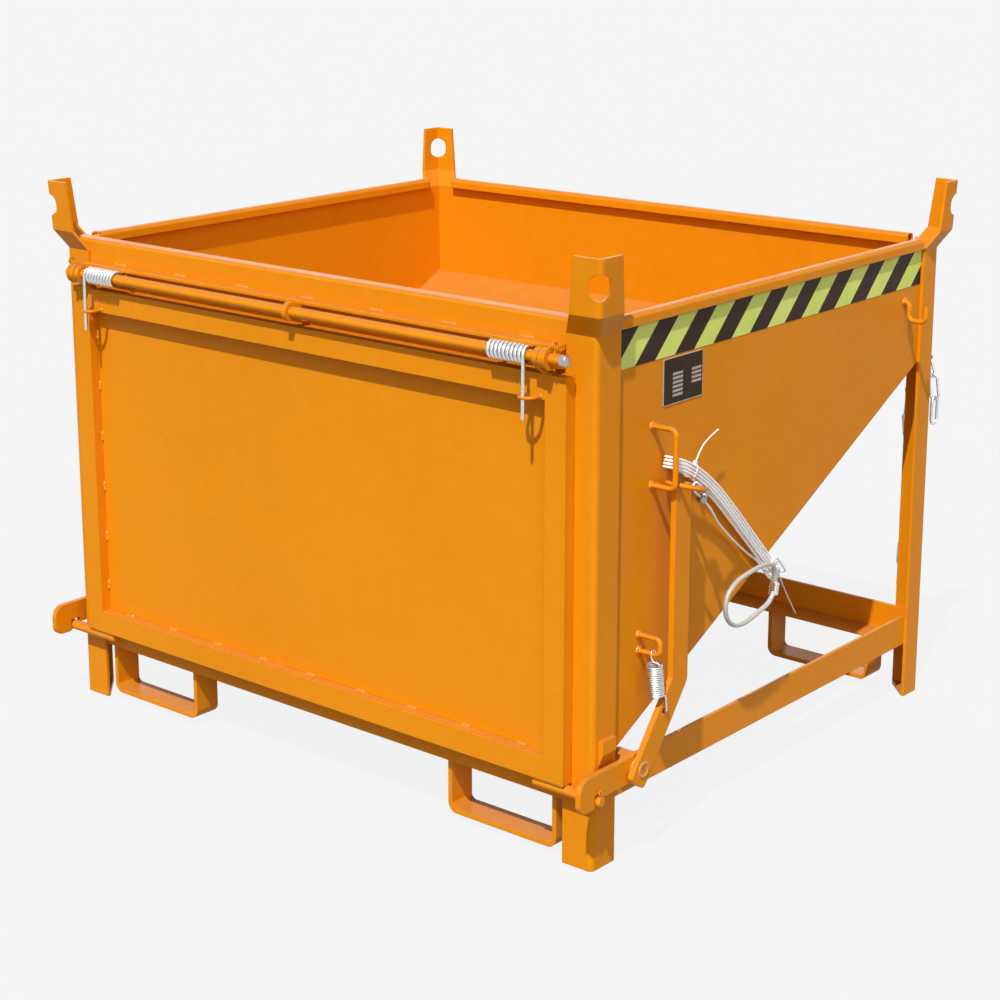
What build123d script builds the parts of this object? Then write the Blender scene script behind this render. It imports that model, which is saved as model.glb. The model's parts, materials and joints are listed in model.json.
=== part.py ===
from build123d import *
import math
import os

import numpy as np

# Silo container: a steel hopper on four posts, emptied through a sprung flap at its front.
# Millimetres. Z is up from the ground, X to the right, Y to the rear, from the middle of the footprint.
os.makedirs("parts", exist_ok=True)

# Depth over the posts, clearances, and the sine up to which two directions count as in line
DEPTH = 1010
RUNNING = 0.3
SEAT = 0.2
IN_LINE = 1e-6

# Corner posts: folded angle whose head flares out into a lifting lug with an oval eye
FRONT_LEG = 58
REAR_LEG = 50
POST_WALL = 6
POST_ROUND = 9
POST_BESIDE_FLAP = 40
FLARE_BELOW_RIM = 21
FLARE_RISE = 33
FLARE_OUT = 19
LUG_RISE = 88
LUG_OUT = 23
LUG_TAPER = 6
EYE_WIDTH = 32
EYE_LENGTH = 40
EYE_DROP = 43
FOOT_PLATE = 8

# Hopper of sheet, with a sloping floor and hollow rims
SHEET = 3
FLOOR_FRONT = 151
FLOOR_ANGLE = 27.1
RIM_ABOVE_HINGE = 55
RIM_WIDTH = 20
RIM_HEIGHT = 19
RIM_WALL = 2.5
RIM_ROUND = 7
RIM_END_GAP = 3
LINTEL_WALL = 6
LINTEL_BELOW_HINGE = 45
LINTEL_RETURN = 25
LINTEL_ROUND = 6
LEDGE_ABOVE_HINGE = 8
LEDGE_THICK = 8
LEDGE_OUT = 15
LEDGE_ROUND = 2
LEDGE_END_GAP = 3

# Base rails of angle, with fork straps of flat bar under them
RAIL_LEG = 55
RAIL_WALL = 6
RAIL_LOW = 103
RAIL_FRONT_INSET = 24
STRAP_OUTER = 224
STRAP_INSET = 187
STRAP_WIDTH = 50
STRAP_THICK = 8
STRAP_LOW = 14
STRAP_ROUND = 14

# Hinge of the flap: rod, brackets on the frame, ears on the flap, washers and split pins
HINGE_OUT = 34
HINGE_HEIGHT = 813
ROD_DIAMETER = 18
ROD_LEFT_PROUD = 8
ROD_RIGHT_PROUD = 25
ROD_CHAMFER = 1
BRACKET_THICK = 10
BRACKET_EAR_GAP = 2
BRACKET_ROUND = 16
BRACKET_ROOT_DROP = 23
EAR_THICK = 10
EAR_INSET = 40
EAR_ROUND = 15
EAR_FOOT = 3
WASHER_DIAMETER = 36
WASHER_THICK = 4
SPLIT_DIAMETER = 4
SPLIT_LENGTH = 34
SPLIT_HEAD = 5
SPLIT_HEAD_SHARE = 0.9
SPLIT_GAP = 3.7

# Torsion springs on the hinge rod
SPRING_WIRE = 6
SPRING_OUTER = 31
SPRING_TURNS = 9
SPRING_PITCH = 7.6
SPRING_EAR_GAP = 13.6
SPRING_TAIL_ANGLE = 15
SPRING_TAIL = 12
SPRING_LEG_DROP = 98
SPRING_LEG_LEAN = 4
ANCHOR_DIAMETER = 8
ANCHOR_REACH = 30
SPRING_EYE_WIRE = 6
SPRING_EYE_DROP = 63

# Flap: sheet panel in a frame of mitred box bars, held shut by a pin under each lower corner
FLAP_HALF = 560
FLAP_LOW = 139
FLAP_BELOW_HINGE = 28
FLAP_BORDER = 40
FLAP_THICK = 22
FLAP_WALL = 3
FLAP_GAP = 0.5
PIN_DIAMETER = 18
PIN_LENGTH = 132
PIN_PROUD = 6
PIN_CHAMFER = 2
PIN_SPLIT = 3.5
PIN_SPLIT_LENGTH = 24
PIN_SPLIT_INSET = 3.2

# Latch: cross shaft in bushes, a hook at each end and a hand lever on the right
SHAFT_BACK = 83.5
SHAFT_HEIGHT = 154
SHAFT_DIAMETER = 38
SHAFT_WALL = 4
BUSH_WALL = 3.7
BUSH_INSET = 12
HOOK_THICK = 10
HOOK_GAP = 12
HOOK_PIN_SIDE = 1.5
HOOK_PIN_TOP = 3.2
HOOK_BAR_RISE = 33
HOOK_BAR_DROP = 9
HOOK_NOSE_WIDTH = 36
HOOK_NOSE_DROP = 22
HOOK_HUB = 24
HOOK_FRONT_ROUND = 22
HOOK_TIP_ROUND = 15
HOOK_SLOT_ROUND = 3
GUIDE_OUT = 9
GUIDE_LOW = 170
GUIDE_HIGH = 214
GUIDE_START = 14
GUIDE_LENGTH = 34
LEVER_GAP = 4
LEVER_THICK = 10
LEVER_WIDTH = 40
LEVER_LEAN = 37
LEVER_FOOT = 26
LEVER_FOOT_ROUND = 9
LEVER_PLUG = 24
LEVER_BACK = 176
LEVER_TOP = 592
LEVER_HOLE = 10
LEVER_HOLE_ALONG = 96.2
LEVER_HOLE_OFF = 8.5
RING_MEAN = 29.5
RING_WIRE = 8
RING_INSET = 3
RING_TILT = 17

# Return spring of the lever and its staple
COIL_WIRE = 3
COIL_OUTER = 28
COIL_TURNS = 14
COIL_PITCH = 3.6
COIL_NECK = 10
COIL_START = 16.5
COIL_HOOK = 7.5
COIL_OFF_LEVER = 3.5
STAPLE_WIRE = 8
STAPLE_LOW = 330
STAPLE_HIGH = 356
STAPLE_BACK = 121
STAPLE_REACH = 42
STAPLE_ROUND = 8
STAPLE_SPRING_INSET = 13

# Rope keeper and rope hook on the right panel
KEEPER_WIRE = 9
KEEPER_LOW = 591
KEEPER_HIGH = 685
KEEPER_BACK = 148
KEEPER_REACH = 45
KEEPER_ROUND = 10
J_WIRE = 9
J_INSET = 105
J_BELOW_TAPE = 24
J_DROP = 33
J_RISE = 28
J_NECK = 11
J_REACH = 44
J_ROUND = 10

# Release rope: eye on the lever's ring, hank of loops laid on each other, and a sleeved grab loop
ROPE = 4
HANK_OFF_PANEL = 8
HANK_STEP = 5.2
HANK_LOOPS = 4
HANK_BIGHT = 8.5
HANK_TOP = (167, 626)
HANK_TOP_LEAN = 18
HANK_TIED = (230, 598.5)
HANK_TIED_LEAN = 31
HANK_UPPER = (313, 534)
HANK_UPPER_LEAN = 43
HANK_BOTTOM = (478, 368)
HANK_BOTTOM_LEAN = 48
HANK_END_OUT = 23.4
HANK_END_OFF = 12
HANK_LEAD = 20
HANK_END_LEAD = 30
HANK_END_TURN = 15
HANK_END_DROP = 5
ROPE_EYE_LEAN = 39.3
CLIP_LENGTH = 13
CLIP_DEPTH = 13
CLIP_MARGIN = 5
CLIP_PLACE = 26
DEAD_END = 46
LIVE_LEAD = 58
TAIL_ROUTE = ((0.7, 290, 502), (0.35, 331, 473), (0.06, 371, 445), (-0.03, 409, 417.5))
GRAB_TUBE = 8
GRAB_OUT = 6.8
GRAB_CROWN = (415, 402)
GRAB_FRONT = (305, 356)
GRAB_SAG = (362, 318.5)
GRAB_SAG_RISE = 14
CRIMP_HEIGHT = 22
CRIMP_LEAN = 12
CRIMP_MARGIN = 6
TIE_BAND = 1.2
TIE_WIDTH = 4
TIE_SLACK = 0.4
TIE_HEAD = 6
LOW_TIE_UP = 22
LOW_TIE_HEAD_DROP = 3
TOP_TIE_TAIL = 70
LOW_TIE_TAIL = 95
TOP_TIE_WAY = (0.86, 0.52)
LOW_TIE_WAY = (0.64, -0.77)

# Trim on the right panel
TAPE_HEIGHT = 62.2
TAPE_THICK = 0.5
TRIM_GAP = 2
PLATE_BACK = 174
PLATE_LENGTH = 105
PLATE_HEIGHT = 74
PLATE_BELOW_TAPE = 3.5
PLATE_THICK = 1
PLATE_ROUND = 3

# Securing chain of long links, hung on a staple behind the rear right post and let down to the rail
LINK_WIRE = 5
LINK_LENGTH = 52
LINK_WIDTH = 21
CHAIN_GAP = 0.4
CHAIN_STAPLE_HEIGHT = 640
CHAIN_STAPLE_INSET = 27
CHAIN_STAPLE_WIDTH = 30
CHAIN_STAPLE_REACH = 17
CHAIN_STAPLE_WIRE = 8
CHAIN_STAPLE_ROUND = 6
CHAIN_SPREAD = 6.5
CHAIN_LONG_LEANS = (18, 14, 4, -6, -2, 0, 0, 1, 2, 2, 1)
CHAIN_SHORT_LEANS = (-20, -8)
SNAP_WIRE = 6
SNAP_LENGTH = 58
SNAP_WIDTH = 26

# Places that follow from the sizes above
SIDE = FLAP_HALF + POST_BESIDE_FLAP
HALF_DEPTH = DEPTH / 2
FRONT = -HALF_DEPTH
REAR = HALF_DEPTH
RIM_TOP = HINGE_HEIGHT + RIM_ABOVE_HINGE
FLARE_LOW = RIM_TOP - FLARE_BELOW_RIM
FLARE_HIGH = FLARE_LOW + FLARE_RISE
LUG_TOP = FLARE_HIGH + LUG_RISE
EYE_HEIGHT = LUG_TOP - EYE_DROP
PANEL_FACE = SIDE - POST_WALL
PANEL_INNER = PANEL_FACE - SHEET
PANEL_TOP = RIM_TOP - RIM_HEIGHT
LINTEL_FACE = FRONT + POST_WALL
LINTEL_LOW = HINGE_HEIGHT - LINTEL_BELOW_HINGE
LEDGE_LOW = HINGE_HEIGHT + LEDGE_ABOVE_HINGE
STRAP_CENTRE = SIDE - STRAP_INSET
HINGE_Y = FRONT - HINGE_OUT
EAR_PLACE = FLAP_HALF - EAR_INSET
BRACKET_PLACE = EAR_PLACE + EAR_THICK / 2 + BRACKET_EAR_GAP + BRACKET_THICK / 2
WASHER_INNER = BRACKET_PLACE + BRACKET_THICK / 2 + RUNNING
SPLIT_PLACE = WASHER_INNER + WASHER_THICK + SPLIT_GAP + SPLIT_DIAMETER / 2
ROD_LEFT_END = SPLIT_PLACE + ROD_LEFT_PROUD
ROD_RIGHT_END = SPLIT_PLACE + ROD_RIGHT_PROUD
SHAFT_Y = FRONT + SHAFT_BACK
FLAP_BACK = FRONT - FLAP_GAP
FLAP_FACE = FLAP_BACK - FLAP_THICK
FLAP_HIGH = HINGE_HEIGHT - FLAP_BELOW_HINGE
PIN_Y = (FLAP_BACK + FLAP_FACE) / 2
PIN_Z = FLAP_LOW - PIN_DIAMETER / 2 - SEAT
HOOK_INNER = SIDE + HOOK_GAP
HOOK_OUTER = HOOK_INNER + HOOK_THICK
PIN_OUTER = HOOK_OUTER + PIN_PROUD
PIN_INNER = PIN_OUTER - PIN_LENGTH
LEVER_INNER = HOOK_OUTER + LEVER_GAP
LEVER_OUTER = LEVER_INNER + LEVER_THICK
LEVER_MIDDLE = (LEVER_INNER + LEVER_OUTER) / 2
RING_REACH = RING_MEAN * math.cos(math.radians(RING_TILT))
RING_DROP = RING_MEAN * math.sin(math.radians(RING_TILT))
RING_BACK = LEVER_BACK - LEVER_WIDTH / 2 + RING_INSET + RING_REACH
RING_HEIGHT = LEVER_TOP + RING_WIRE / 2 - RING_DROP
TAPE_LOW = PANEL_TOP - RUNNING - TAPE_HEIGHT
PLATE_LOW = TAPE_LOW - PLATE_BELOW_TAPE - PLATE_HEIGHT
J_BACK = DEPTH - J_INSET
J_ROOT = TAPE_LOW - J_BELOW_TAPE
J_BOTTOM = J_ROOT - J_DROP
J_TIP = J_BOTTOM + J_RISE
LEFT_RIGHT = (-1, 1)
X_WAY = Vector(1, 0, 0)
TO_FRONT = Vector(0, -1, 0)
UP = Vector(0, 0, 1)
DOWN = Vector(0, 0, -1)


def save(piece, name):
    """Writes one piece under its name."""
    piece.label = name
    export_step(piece, f"parts/{name}.step")


def save_pair(piece, name):
    """Writes a right-hand piece and its mirror image on the left."""
    save(piece, f"{name}_right")
    save(mirror(piece, about=Plane.YZ), f"{name}_left")


def from_right(x):
    """Plane across the container at x: its own axes run to the rear and up, its normal to the right."""
    return Plane.YZ.offset(x)


def from_front(y):
    """Plane along the container's width at y: its own axes run right and up, its normal to the front."""
    return Plane.XZ.offset(-y)


def floor_height(y):
    """Height of the sloping floor's underside at y."""
    return FLOOR_FRONT + (y - FRONT) * math.tan(math.radians(FLOOR_ANGLE))


def in_side_view(x, back, height):
    """Point given by its distance behind the front plane and its height."""
    return Vector(x, FRONT + back, height)


def biarc(start, heading, end, arrival):
    """Two tangent arcs from start to end, added to the line being drawn."""
    gap = end - start
    both = heading + arrival
    slack = 4 - both.dot(both)
    lean = gap.dot(both)
    reach = gap.dot(gap) / (lean + math.sqrt(lean**2 + slack * gap.dot(gap)))
    first_corner = start + heading * reach
    last_corner = end - arrival * reach
    middle = (first_corner + last_corner) * 0.5
    TangentArc(start, middle, tangent=heading)
    TangentArc(middle, end, tangent=(last_corner - first_corner).normalized())


def follow(stations):
    """Draws biarcs, or a straight where two stations lie in line, through points with their headings."""
    for (start, heading), (end, arrival) in zip(stations, stations[1:]):
        straight = (end - start).normalized()
        if heading.cross(straight).length + arrival.cross(straight).length < IN_LINE:
            Line(start, end)
        else:
            biarc(start, heading, end, arrival)


def on_coil(centre, axis, first, second, radius, pitch, angle):
    """Point and heading on a helix that turns from the direction first to second, at an angle in degrees."""
    turn = math.radians(angle)
    point = centre + axis * (pitch * angle / 360)
    point += (first * math.cos(turn) + second * math.sin(turn)) * radius
    along = axis * (pitch / (2 * math.pi * radius))
    heading = along - first * math.sin(turn) + second * math.cos(turn)
    return point, heading.normalized()


def least_gap(path, diameter):
    """Least clear distance between stretches of a tube that lie apart along it, measured on points."""
    count = int(path.length / diameter * 3)
    step = path.length / count
    points = np.array([tuple(path.position_at(i / count)) for i in range(count + 1)])
    apart = int(2.5 * diameter / step)
    least = math.inf
    for i in range(count - apart):
        least = min(least, np.linalg.norm(points[i + apart:] - points[i], axis=1).min())
    return least - diameter


def corner_radii(points, share=0.45):
    """Radius of the arc at each corner of a cord's route, as large as its runs allow."""
    radii = []
    for before, corner, after in zip(points, points[1:], points[2:]):
        half_turn = math.radians((corner - before).get_angle(after - corner)) / 2
        run = min((corner - before).length, (after - corner).length)
        radii.append(share * run / math.tan(half_turn))
    return radii


def corner_post(leg, end):
    """Right-hand post of one end: -1 is the front, 1 the rear."""
    stations = (
        (0, 0, leg),
        (FLARE_LOW, 0, leg),
        (FLARE_HIGH, FLARE_OUT, leg),
        (LUG_TOP, LUG_OUT, leg - LUG_TAPER),
    )
    with BuildPart() as post:
        for height, out, length in stations:
            corner = Vector(SIDE + out, end * (HALF_DEPTH + out))
            angle = (
                (0, 0),
                (length, 0),
                (length, POST_WALL),
                (POST_WALL, POST_WALL),
                (POST_WALL, length),
                (0, length),
            )
            with BuildSketch(Plane.XY.offset(height)) as section:
                with BuildLine():
                    Polyline(*[(corner.X - a, corner.Y - end * b) for a, b in angle], close=True)
                make_face()
                fillet(section.vertices().sort_by_distance(corner)[0], POST_ROUND)
        loft(ruled=True)
        eye_at = Vector(SIDE + LUG_OUT, end * (HALF_DEPTH + LUG_OUT), EYE_HEIGHT)
        with BuildSketch(Plane(origin=eye_at, x_dir=(-end, 1, 0), z_dir=(1, end, 0))):
            SlotOverall(EYE_LENGTH, EYE_WIDTH, rotation=90)
        extrude(amount=leg, both=True, mode=Mode.SUBTRACT)
    return post.part


save_pair(corner_post(FRONT_LEG, -1), "post_front")
save_pair(corner_post(REAR_LEG, 1), "post_rear")

with BuildPart() as foot_plates:
    for side in LEFT_RIGHT:
        for end, leg in ((-1, FRONT_LEG), (1, REAR_LEG)):
            near = (side * (SIDE - POST_WALL), end * (HALF_DEPTH - POST_WALL))
            with BuildSketch():
                with BuildLine():
                    Polyline(
                        near,
                        (side * (SIDE - leg), near[1]),
                        (near[0], end * (HALF_DEPTH - leg)),
                        close=True,
                    )
                make_face()
            extrude(amount=FOOT_PLATE)
save(foot_plates.part, "foot_plates")

# Hopper
front_edge = LINTEL_FACE
rear_edge = REAR - POST_WALL
with BuildPart() as side_panel:
    with BuildSketch(from_right(PANEL_FACE)):
        with BuildLine():
            Polyline(
                (front_edge, floor_height(front_edge)),
                (rear_edge, floor_height(rear_edge)),
                (rear_edge, PANEL_TOP),
                (front_edge, PANEL_TOP),
                close=True,
            )
        make_face()
    extrude(amount=-SHEET)
save_pair(side_panel.part, "side_panel")

wall_front = rear_edge - SHEET
with BuildPart() as rear_wall:
    with BuildSketch(from_front(rear_edge)):
        with BuildLine():
            Polyline(
                (-PANEL_INNER, floor_height(wall_front)),
                (PANEL_INNER, floor_height(wall_front)),
                (PANEL_INNER, PANEL_TOP),
                (-PANEL_INNER, PANEL_TOP),
                close=True,
            )
        make_face()
    extrude(amount=SHEET)
save(rear_wall.part, "rear_wall")

floor_rise = SHEET / math.cos(math.radians(FLOOR_ANGLE))
with BuildPart() as hopper_floor:
    with BuildSketch(from_right(-PANEL_INNER)):
        with BuildLine():
            Polyline(
                (front_edge, floor_height(front_edge)),
                (wall_front, floor_height(wall_front)),
                (wall_front, floor_height(wall_front) + floor_rise),
                (front_edge, floor_height(front_edge) + floor_rise),
                close=True,
            )
        make_face()
    extrude(amount=2 * PANEL_INNER)
save(hopper_floor.part, "hopper_floor")


with BuildPart() as side_rim:
    rim_start = FRONT + FRONT_LEG + RIM_END_GAP
    rim_end = REAR - REAR_LEG - RIM_END_GAP
    with BuildSketch(from_front(rim_start)) as rim_profile:
        with Locations((SIDE - RIM_WIDTH / 2, RIM_TOP - RIM_HEIGHT / 2)):
            Rectangle(RIM_WIDTH, RIM_HEIGHT)
        fillet(rim_profile.vertices().group_by(Axis.Y)[-1], RIM_ROUND)
        offset(amount=-RIM_WALL, mode=Mode.SUBTRACT)
    extrude(amount=rim_start - rim_end)
save_pair(side_rim.part, "rim")

with BuildPart() as rim_rear:
    rim_half = SIDE - REAR_LEG - RIM_END_GAP
    with BuildSketch(from_right(-rim_half)) as rim_profile:
        with Locations((REAR - RIM_WIDTH / 2, RIM_TOP - RIM_HEIGHT / 2)):
            Rectangle(RIM_WIDTH, RIM_HEIGHT)
        fillet(rim_profile.vertices().group_by(Axis.Y)[-1], RIM_ROUND)
        offset(amount=-RIM_WALL, mode=Mode.SUBTRACT)
    extrude(amount=2 * rim_half)
save(rim_rear.part, "rim_rear")

with BuildPart() as front_lintel:
    with BuildSketch(from_right(-PANEL_INNER)) as profile:
        with BuildLine():
            Polyline(
                (LINTEL_FACE, LINTEL_LOW),
                (LINTEL_FACE, RIM_TOP),
                (LINTEL_FACE + LINTEL_RETURN, RIM_TOP),
                (LINTEL_FACE + LINTEL_RETURN, RIM_TOP - LINTEL_WALL),
                (LINTEL_FACE + LINTEL_WALL, RIM_TOP - LINTEL_WALL),
                (LINTEL_FACE + LINTEL_WALL, LINTEL_LOW),
                close=True,
            )
        make_face()
        fillet(profile.vertices().sort_by_distance((LINTEL_FACE, RIM_TOP))[0], LINTEL_ROUND)
    extrude(amount=2 * PANEL_INNER)
save(front_lintel.part, "front_lintel")

ledge_half = SIDE - FRONT_LEG - LEDGE_END_GAP
with BuildPart() as hinge_ledge:
    with BuildSketch(from_right(-ledge_half)) as profile:
        with Locations((FRONT - LEDGE_OUT, LEDGE_LOW)):
            Rectangle(LEDGE_OUT + POST_WALL, LEDGE_THICK, align=(Align.MIN, Align.MIN))
        fillet(profile.vertices().group_by(Axis.X)[0], LEDGE_ROUND)
    extrude(amount=2 * ledge_half)
save(hinge_ledge.part, "hinge_ledge")

# Base rails and fork straps
rail_top = RAIL_LOW + RAIL_LEG
rail_inner = PANEL_FACE - RAIL_LEG
rail_web = PANEL_FACE - RAIL_WALL
bush_radius = SHAFT_DIAMETER / 2 + RUNNING + BUSH_WALL
rail_start = FRONT + RAIL_FRONT_INSET
rail_end = REAR - POST_WALL - RAIL_WALL
with BuildPart() as side_rail:
    with BuildSketch(from_front(rail_start)):
        with BuildLine():
            Polyline(
                (PANEL_FACE, RAIL_LOW),
                (PANEL_FACE, rail_top),
                (rail_web, rail_top),
                (rail_web, RAIL_LOW + RAIL_WALL),
                (rail_inner, RAIL_LOW + RAIL_WALL),
                (rail_inner, RAIL_LOW),
                close=True,
            )
        make_face()
    extrude(amount=rail_start - rail_end)
    with BuildSketch(from_right(PANEL_FACE)):
        with Locations((SHAFT_Y, SHAFT_HEIGHT)):
            Circle(bush_radius + SEAT)
    extrude(amount=-RAIL_WALL, mode=Mode.SUBTRACT)
save_pair(side_rail.part, "base_rail")


def cross_rail(face, inward, top):
    """Angle rail between the side rails, its upright leg against the post flanges."""
    from_face = (Align.MIN if inward > 0 else Align.MAX, Align.MIN)
    with BuildPart() as rail:
        with BuildSketch(from_right(-rail_web)):
            with Locations((face, RAIL_LOW)):
                Rectangle(RAIL_WALL, top - RAIL_LOW, align=from_face)
        extrude(amount=2 * rail_web)
        with BuildSketch(from_right(-rail_inner)):
            with Locations((face, RAIL_LOW)):
                Rectangle(RAIL_LEG, RAIL_WALL, align=from_face)
        extrude(amount=2 * rail_inner)
    return rail.part


save(cross_rail(LINTEL_FACE, 1, floor_height(LINTEL_FACE)), "base_rail_front")
save(cross_rail(rear_edge, -1, rail_top), "base_rail_rear")


def fork_strap(front_face):
    """Right-hand strap of flat bar bent into a U, open towards the rail above it."""
    leg = STRAP_OUTER / 2 - STRAP_THICK / 2
    bottom = STRAP_LOW + STRAP_THICK / 2
    with BuildPart() as strap:
        with BuildSketch(from_front(front_face)):
            with BuildLine():
                FilletPolyline(
                    (STRAP_CENTRE - leg, RAIL_LOW),
                    (STRAP_CENTRE - leg, bottom),
                    (STRAP_CENTRE + leg, bottom),
                    (STRAP_CENTRE + leg, RAIL_LOW),
                    radius=STRAP_ROUND,
                )
            trace(line_width=STRAP_THICK)
        extrude(amount=-STRAP_WIDTH)
    return strap.part


save_pair(fork_strap(LINTEL_FACE), "fork_strap_front")
save_pair(fork_strap(rear_edge - STRAP_WIDTH), "fork_strap_rear")

# Hinge of the flap
rod_bore = ROD_DIAMETER / 2 + RUNNING
with BuildPart() as hinge_rod:
    with BuildSketch(from_right(-ROD_LEFT_END)):
        with Locations((HINGE_Y, HINGE_HEIGHT)):
            Circle(ROD_DIAMETER / 2)
    extrude(amount=ROD_LEFT_END + ROD_RIGHT_END)
    chamfer(hinge_rod.edges().filter_by(GeomType.CIRCLE), ROD_CHAMFER)
    for side in LEFT_RIGHT:
        with Locations((side * SPLIT_PLACE, HINGE_Y, HINGE_HEIGHT)):
            Cylinder(SPLIT_DIAMETER / 2 + SEAT, 2 * ROD_DIAMETER, mode=Mode.SUBTRACT)
save(hinge_rod.part, "hinge_rod")

with BuildPart() as hinge_brackets:
    shoulder = math.sqrt(BRACKET_ROUND**2 - LEDGE_ABOVE_HINGE**2)
    for place in (-BRACKET_PLACE, 0, BRACKET_PLACE):
        with BuildSketch(from_right(place - BRACKET_THICK / 2)):
            with BuildLine():
                Polyline(
                    (LINTEL_FACE, LEDGE_LOW),
                    (LINTEL_FACE, HINGE_HEIGHT - BRACKET_ROOT_DROP),
                    (HINGE_Y, HINGE_HEIGHT - BRACKET_ROUND),
                    (HINGE_Y, HINGE_HEIGHT),
                    (HINGE_Y + shoulder, LEDGE_LOW),
                    close=True,
                )
            make_face()
            with Locations((HINGE_Y, HINGE_HEIGHT)):
                Circle(BRACKET_ROUND)
                Circle(rod_bore, mode=Mode.SUBTRACT)
        extrude(amount=BRACKET_THICK)
save(hinge_brackets.part, "hinge_brackets")

with BuildPart() as hinge_washers:
    for side in LEFT_RIGHT:
        with BuildSketch(from_right(side * WASHER_INNER)):
            with Locations((HINGE_Y, HINGE_HEIGHT)):
                Circle(WASHER_DIAMETER / 2)
                Circle(rod_bore, mode=Mode.SUBTRACT)
        extrude(amount=side * WASHER_THICK)
save(hinge_washers.part, "hinge_washers")


def split_pins(places, diameter, length, head):
    """Upright split pins: a shank with a ring head on top of it, one at each place."""
    with BuildPart() as pins:
        for place in places:
            with Locations(place):
                Cylinder(diameter / 2, length)
            with Locations(place + Vector(0, 0, length / 2 + head - diameter / 4)):
                Torus(head, diameter / 2 * SPLIT_HEAD_SHARE, rotation=(0, 90, 0))
    return pins.part


save(
    split_pins(
        [Vector(side * SPLIT_PLACE, HINGE_Y, HINGE_HEIGHT) for side in LEFT_RIGHT],
        SPLIT_DIAMETER,
        SPLIT_LENGTH,
        SPLIT_HEAD,
    ),
    "hinge_split_pins",
)

# Torsion springs: the outer leg hangs down in front of the flap, the inner tail lies on its anchor
spring_radius = (SPRING_OUTER - SPRING_WIRE) / 2
spring_first = -SPRING_TAIL_ANGLE
spring_last = 90 + SPRING_LEG_LEAN + 360 * SPRING_TURNS
coil_outer_end = EAR_PLACE - EAR_THICK / 2 - SPRING_EAR_GAP - SPRING_WIRE / 2
spring_centre = Vector(coil_outer_end - SPRING_PITCH * spring_last / 360, HINGE_Y, HINGE_HEIGHT)
quarters = round((spring_last - spring_first) / 90)
with BuildPart() as torsion_spring:
    with BuildLine() as wire:
        stations = []
        for quarter in range(quarters + 1):
            angle = spring_first + (spring_last - spring_first) * quarter / quarters
            stations.append(on_coil(spring_centre, X_WAY, UP, TO_FRONT, spring_radius, SPRING_PITCH, angle))
        first_point, first_heading = stations[0]
        last_point, last_heading = stations[-1]
        last_heading = (last_heading - X_WAY * last_heading.X).normalized()
        stations[-1] = (last_point, last_heading)
        Line(first_point - first_heading * SPRING_TAIL, first_point)
        follow(stations)
        leg_length = (last_point.Z - HINGE_HEIGHT + SPRING_LEG_DROP) / -last_heading.Z
        Line(last_point, last_point + last_heading * leg_length)
    with BuildSketch(Plane(wire.line @ 0, z_dir=wire.line % 0)):
        Circle(SPRING_WIRE / 2)
    sweep()
print("torsion spring, least gap", round(least_gap(wire.wires()[0], SPRING_WIRE), 2))
save_pair(torsion_spring.part, "torsion_spring")

tail_end = first_point - first_heading * SPRING_TAIL
anchor_height = tail_end.Z - SPRING_WIRE / 2 - ANCHOR_DIAMETER / 2 - RUNNING
with BuildPart() as spring_anchors:
    with BuildSketch(from_front(LINTEL_FACE)):
        with Locations((tail_end.X, anchor_height)):
            Circle(ANCHOR_DIAMETER / 2)
    extrude(amount=ANCHOR_REACH)
    fillet(spring_anchors.faces().sort_by(Axis.Y)[0].edges(), ANCHOR_DIAMETER / 4)
    mirror(about=Plane.YZ)
save(spring_anchors.part, "spring_anchors")

eye_height = HINGE_HEIGHT - SPRING_EYE_DROP
leg_in_eye = last_point + last_heading * (last_point.Z - eye_height) / -last_heading.Z
eye_mean = (FLAP_FACE - leg_in_eye.Y + SPRING_WIRE / 2 + RUNNING + SPRING_EYE_WIRE / 2) / 2
with BuildPart() as spring_eyes:
    for side in LEFT_RIGHT:
        centre = Vector(side * leg_in_eye.X, FLAP_FACE - eye_mean, eye_height)
        with BuildLine() as bar:
            inner_side = centre - X_WAY * eye_mean
            outer_side = centre + X_WAY * eye_mean
            Line(inner_side - TO_FRONT * eye_mean, inner_side)
            ThreePointArc(inner_side, centre + TO_FRONT * eye_mean, outer_side)
            Line(outer_side, outer_side - TO_FRONT * eye_mean)
        with BuildSketch(Plane(bar.line @ 0, z_dir=bar.line % 0)):
            Circle(SPRING_EYE_WIRE / 2)
        sweep(path=bar.wires()[0])
save(spring_eyes.part, "spring_eyes")

# Flap
flap_outer = ((-FLAP_HALF, FLAP_LOW), (FLAP_HALF, FLAP_LOW), (FLAP_HALF, FLAP_HIGH), (-FLAP_HALF, FLAP_HIGH))
flap_sides = ("bottom", "right", "top", "left")


def inset_corner(corner, amount):
    """Flap corner moved towards the flap's middle along both of its edges."""
    x, z = corner
    middle = (FLAP_LOW + FLAP_HIGH) / 2
    return (x - math.copysign(amount, x), z + math.copysign(amount, middle - z))


for number, name in enumerate(flap_sides):
    start, end = flap_outer[number], flap_outer[(number + 1) % 4]
    with BuildPart() as border:
        for wall, mode in ((0, Mode.ADD), (FLAP_WALL, Mode.SUBTRACT)):
            near, far = wall, FLAP_BORDER - wall
            with BuildSketch(from_front(FLAP_FACE + wall)):
                with BuildLine():
                    Polyline(
                        inset_corner(start, near),
                        inset_corner(end, near),
                        inset_corner(end, far),
                        inset_corner(start, far),
                        close=True,
                    )
                make_face()
            extrude(amount=2 * wall - FLAP_THICK, mode=mode)
    save(border.part, f"flap_border_{name}")

panel_half = FLAP_HALF - FLAP_BORDER
with BuildPart() as flap_panel:
    with BuildSketch(from_front(FLAP_BACK)):
        with Locations((0, (FLAP_LOW + FLAP_HIGH) / 2)):
            Rectangle(2 * panel_half, FLAP_HIGH - FLAP_LOW - 2 * FLAP_BORDER)
    extrude(amount=SHEET)
save(flap_panel.part, "flap_panel")

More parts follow.
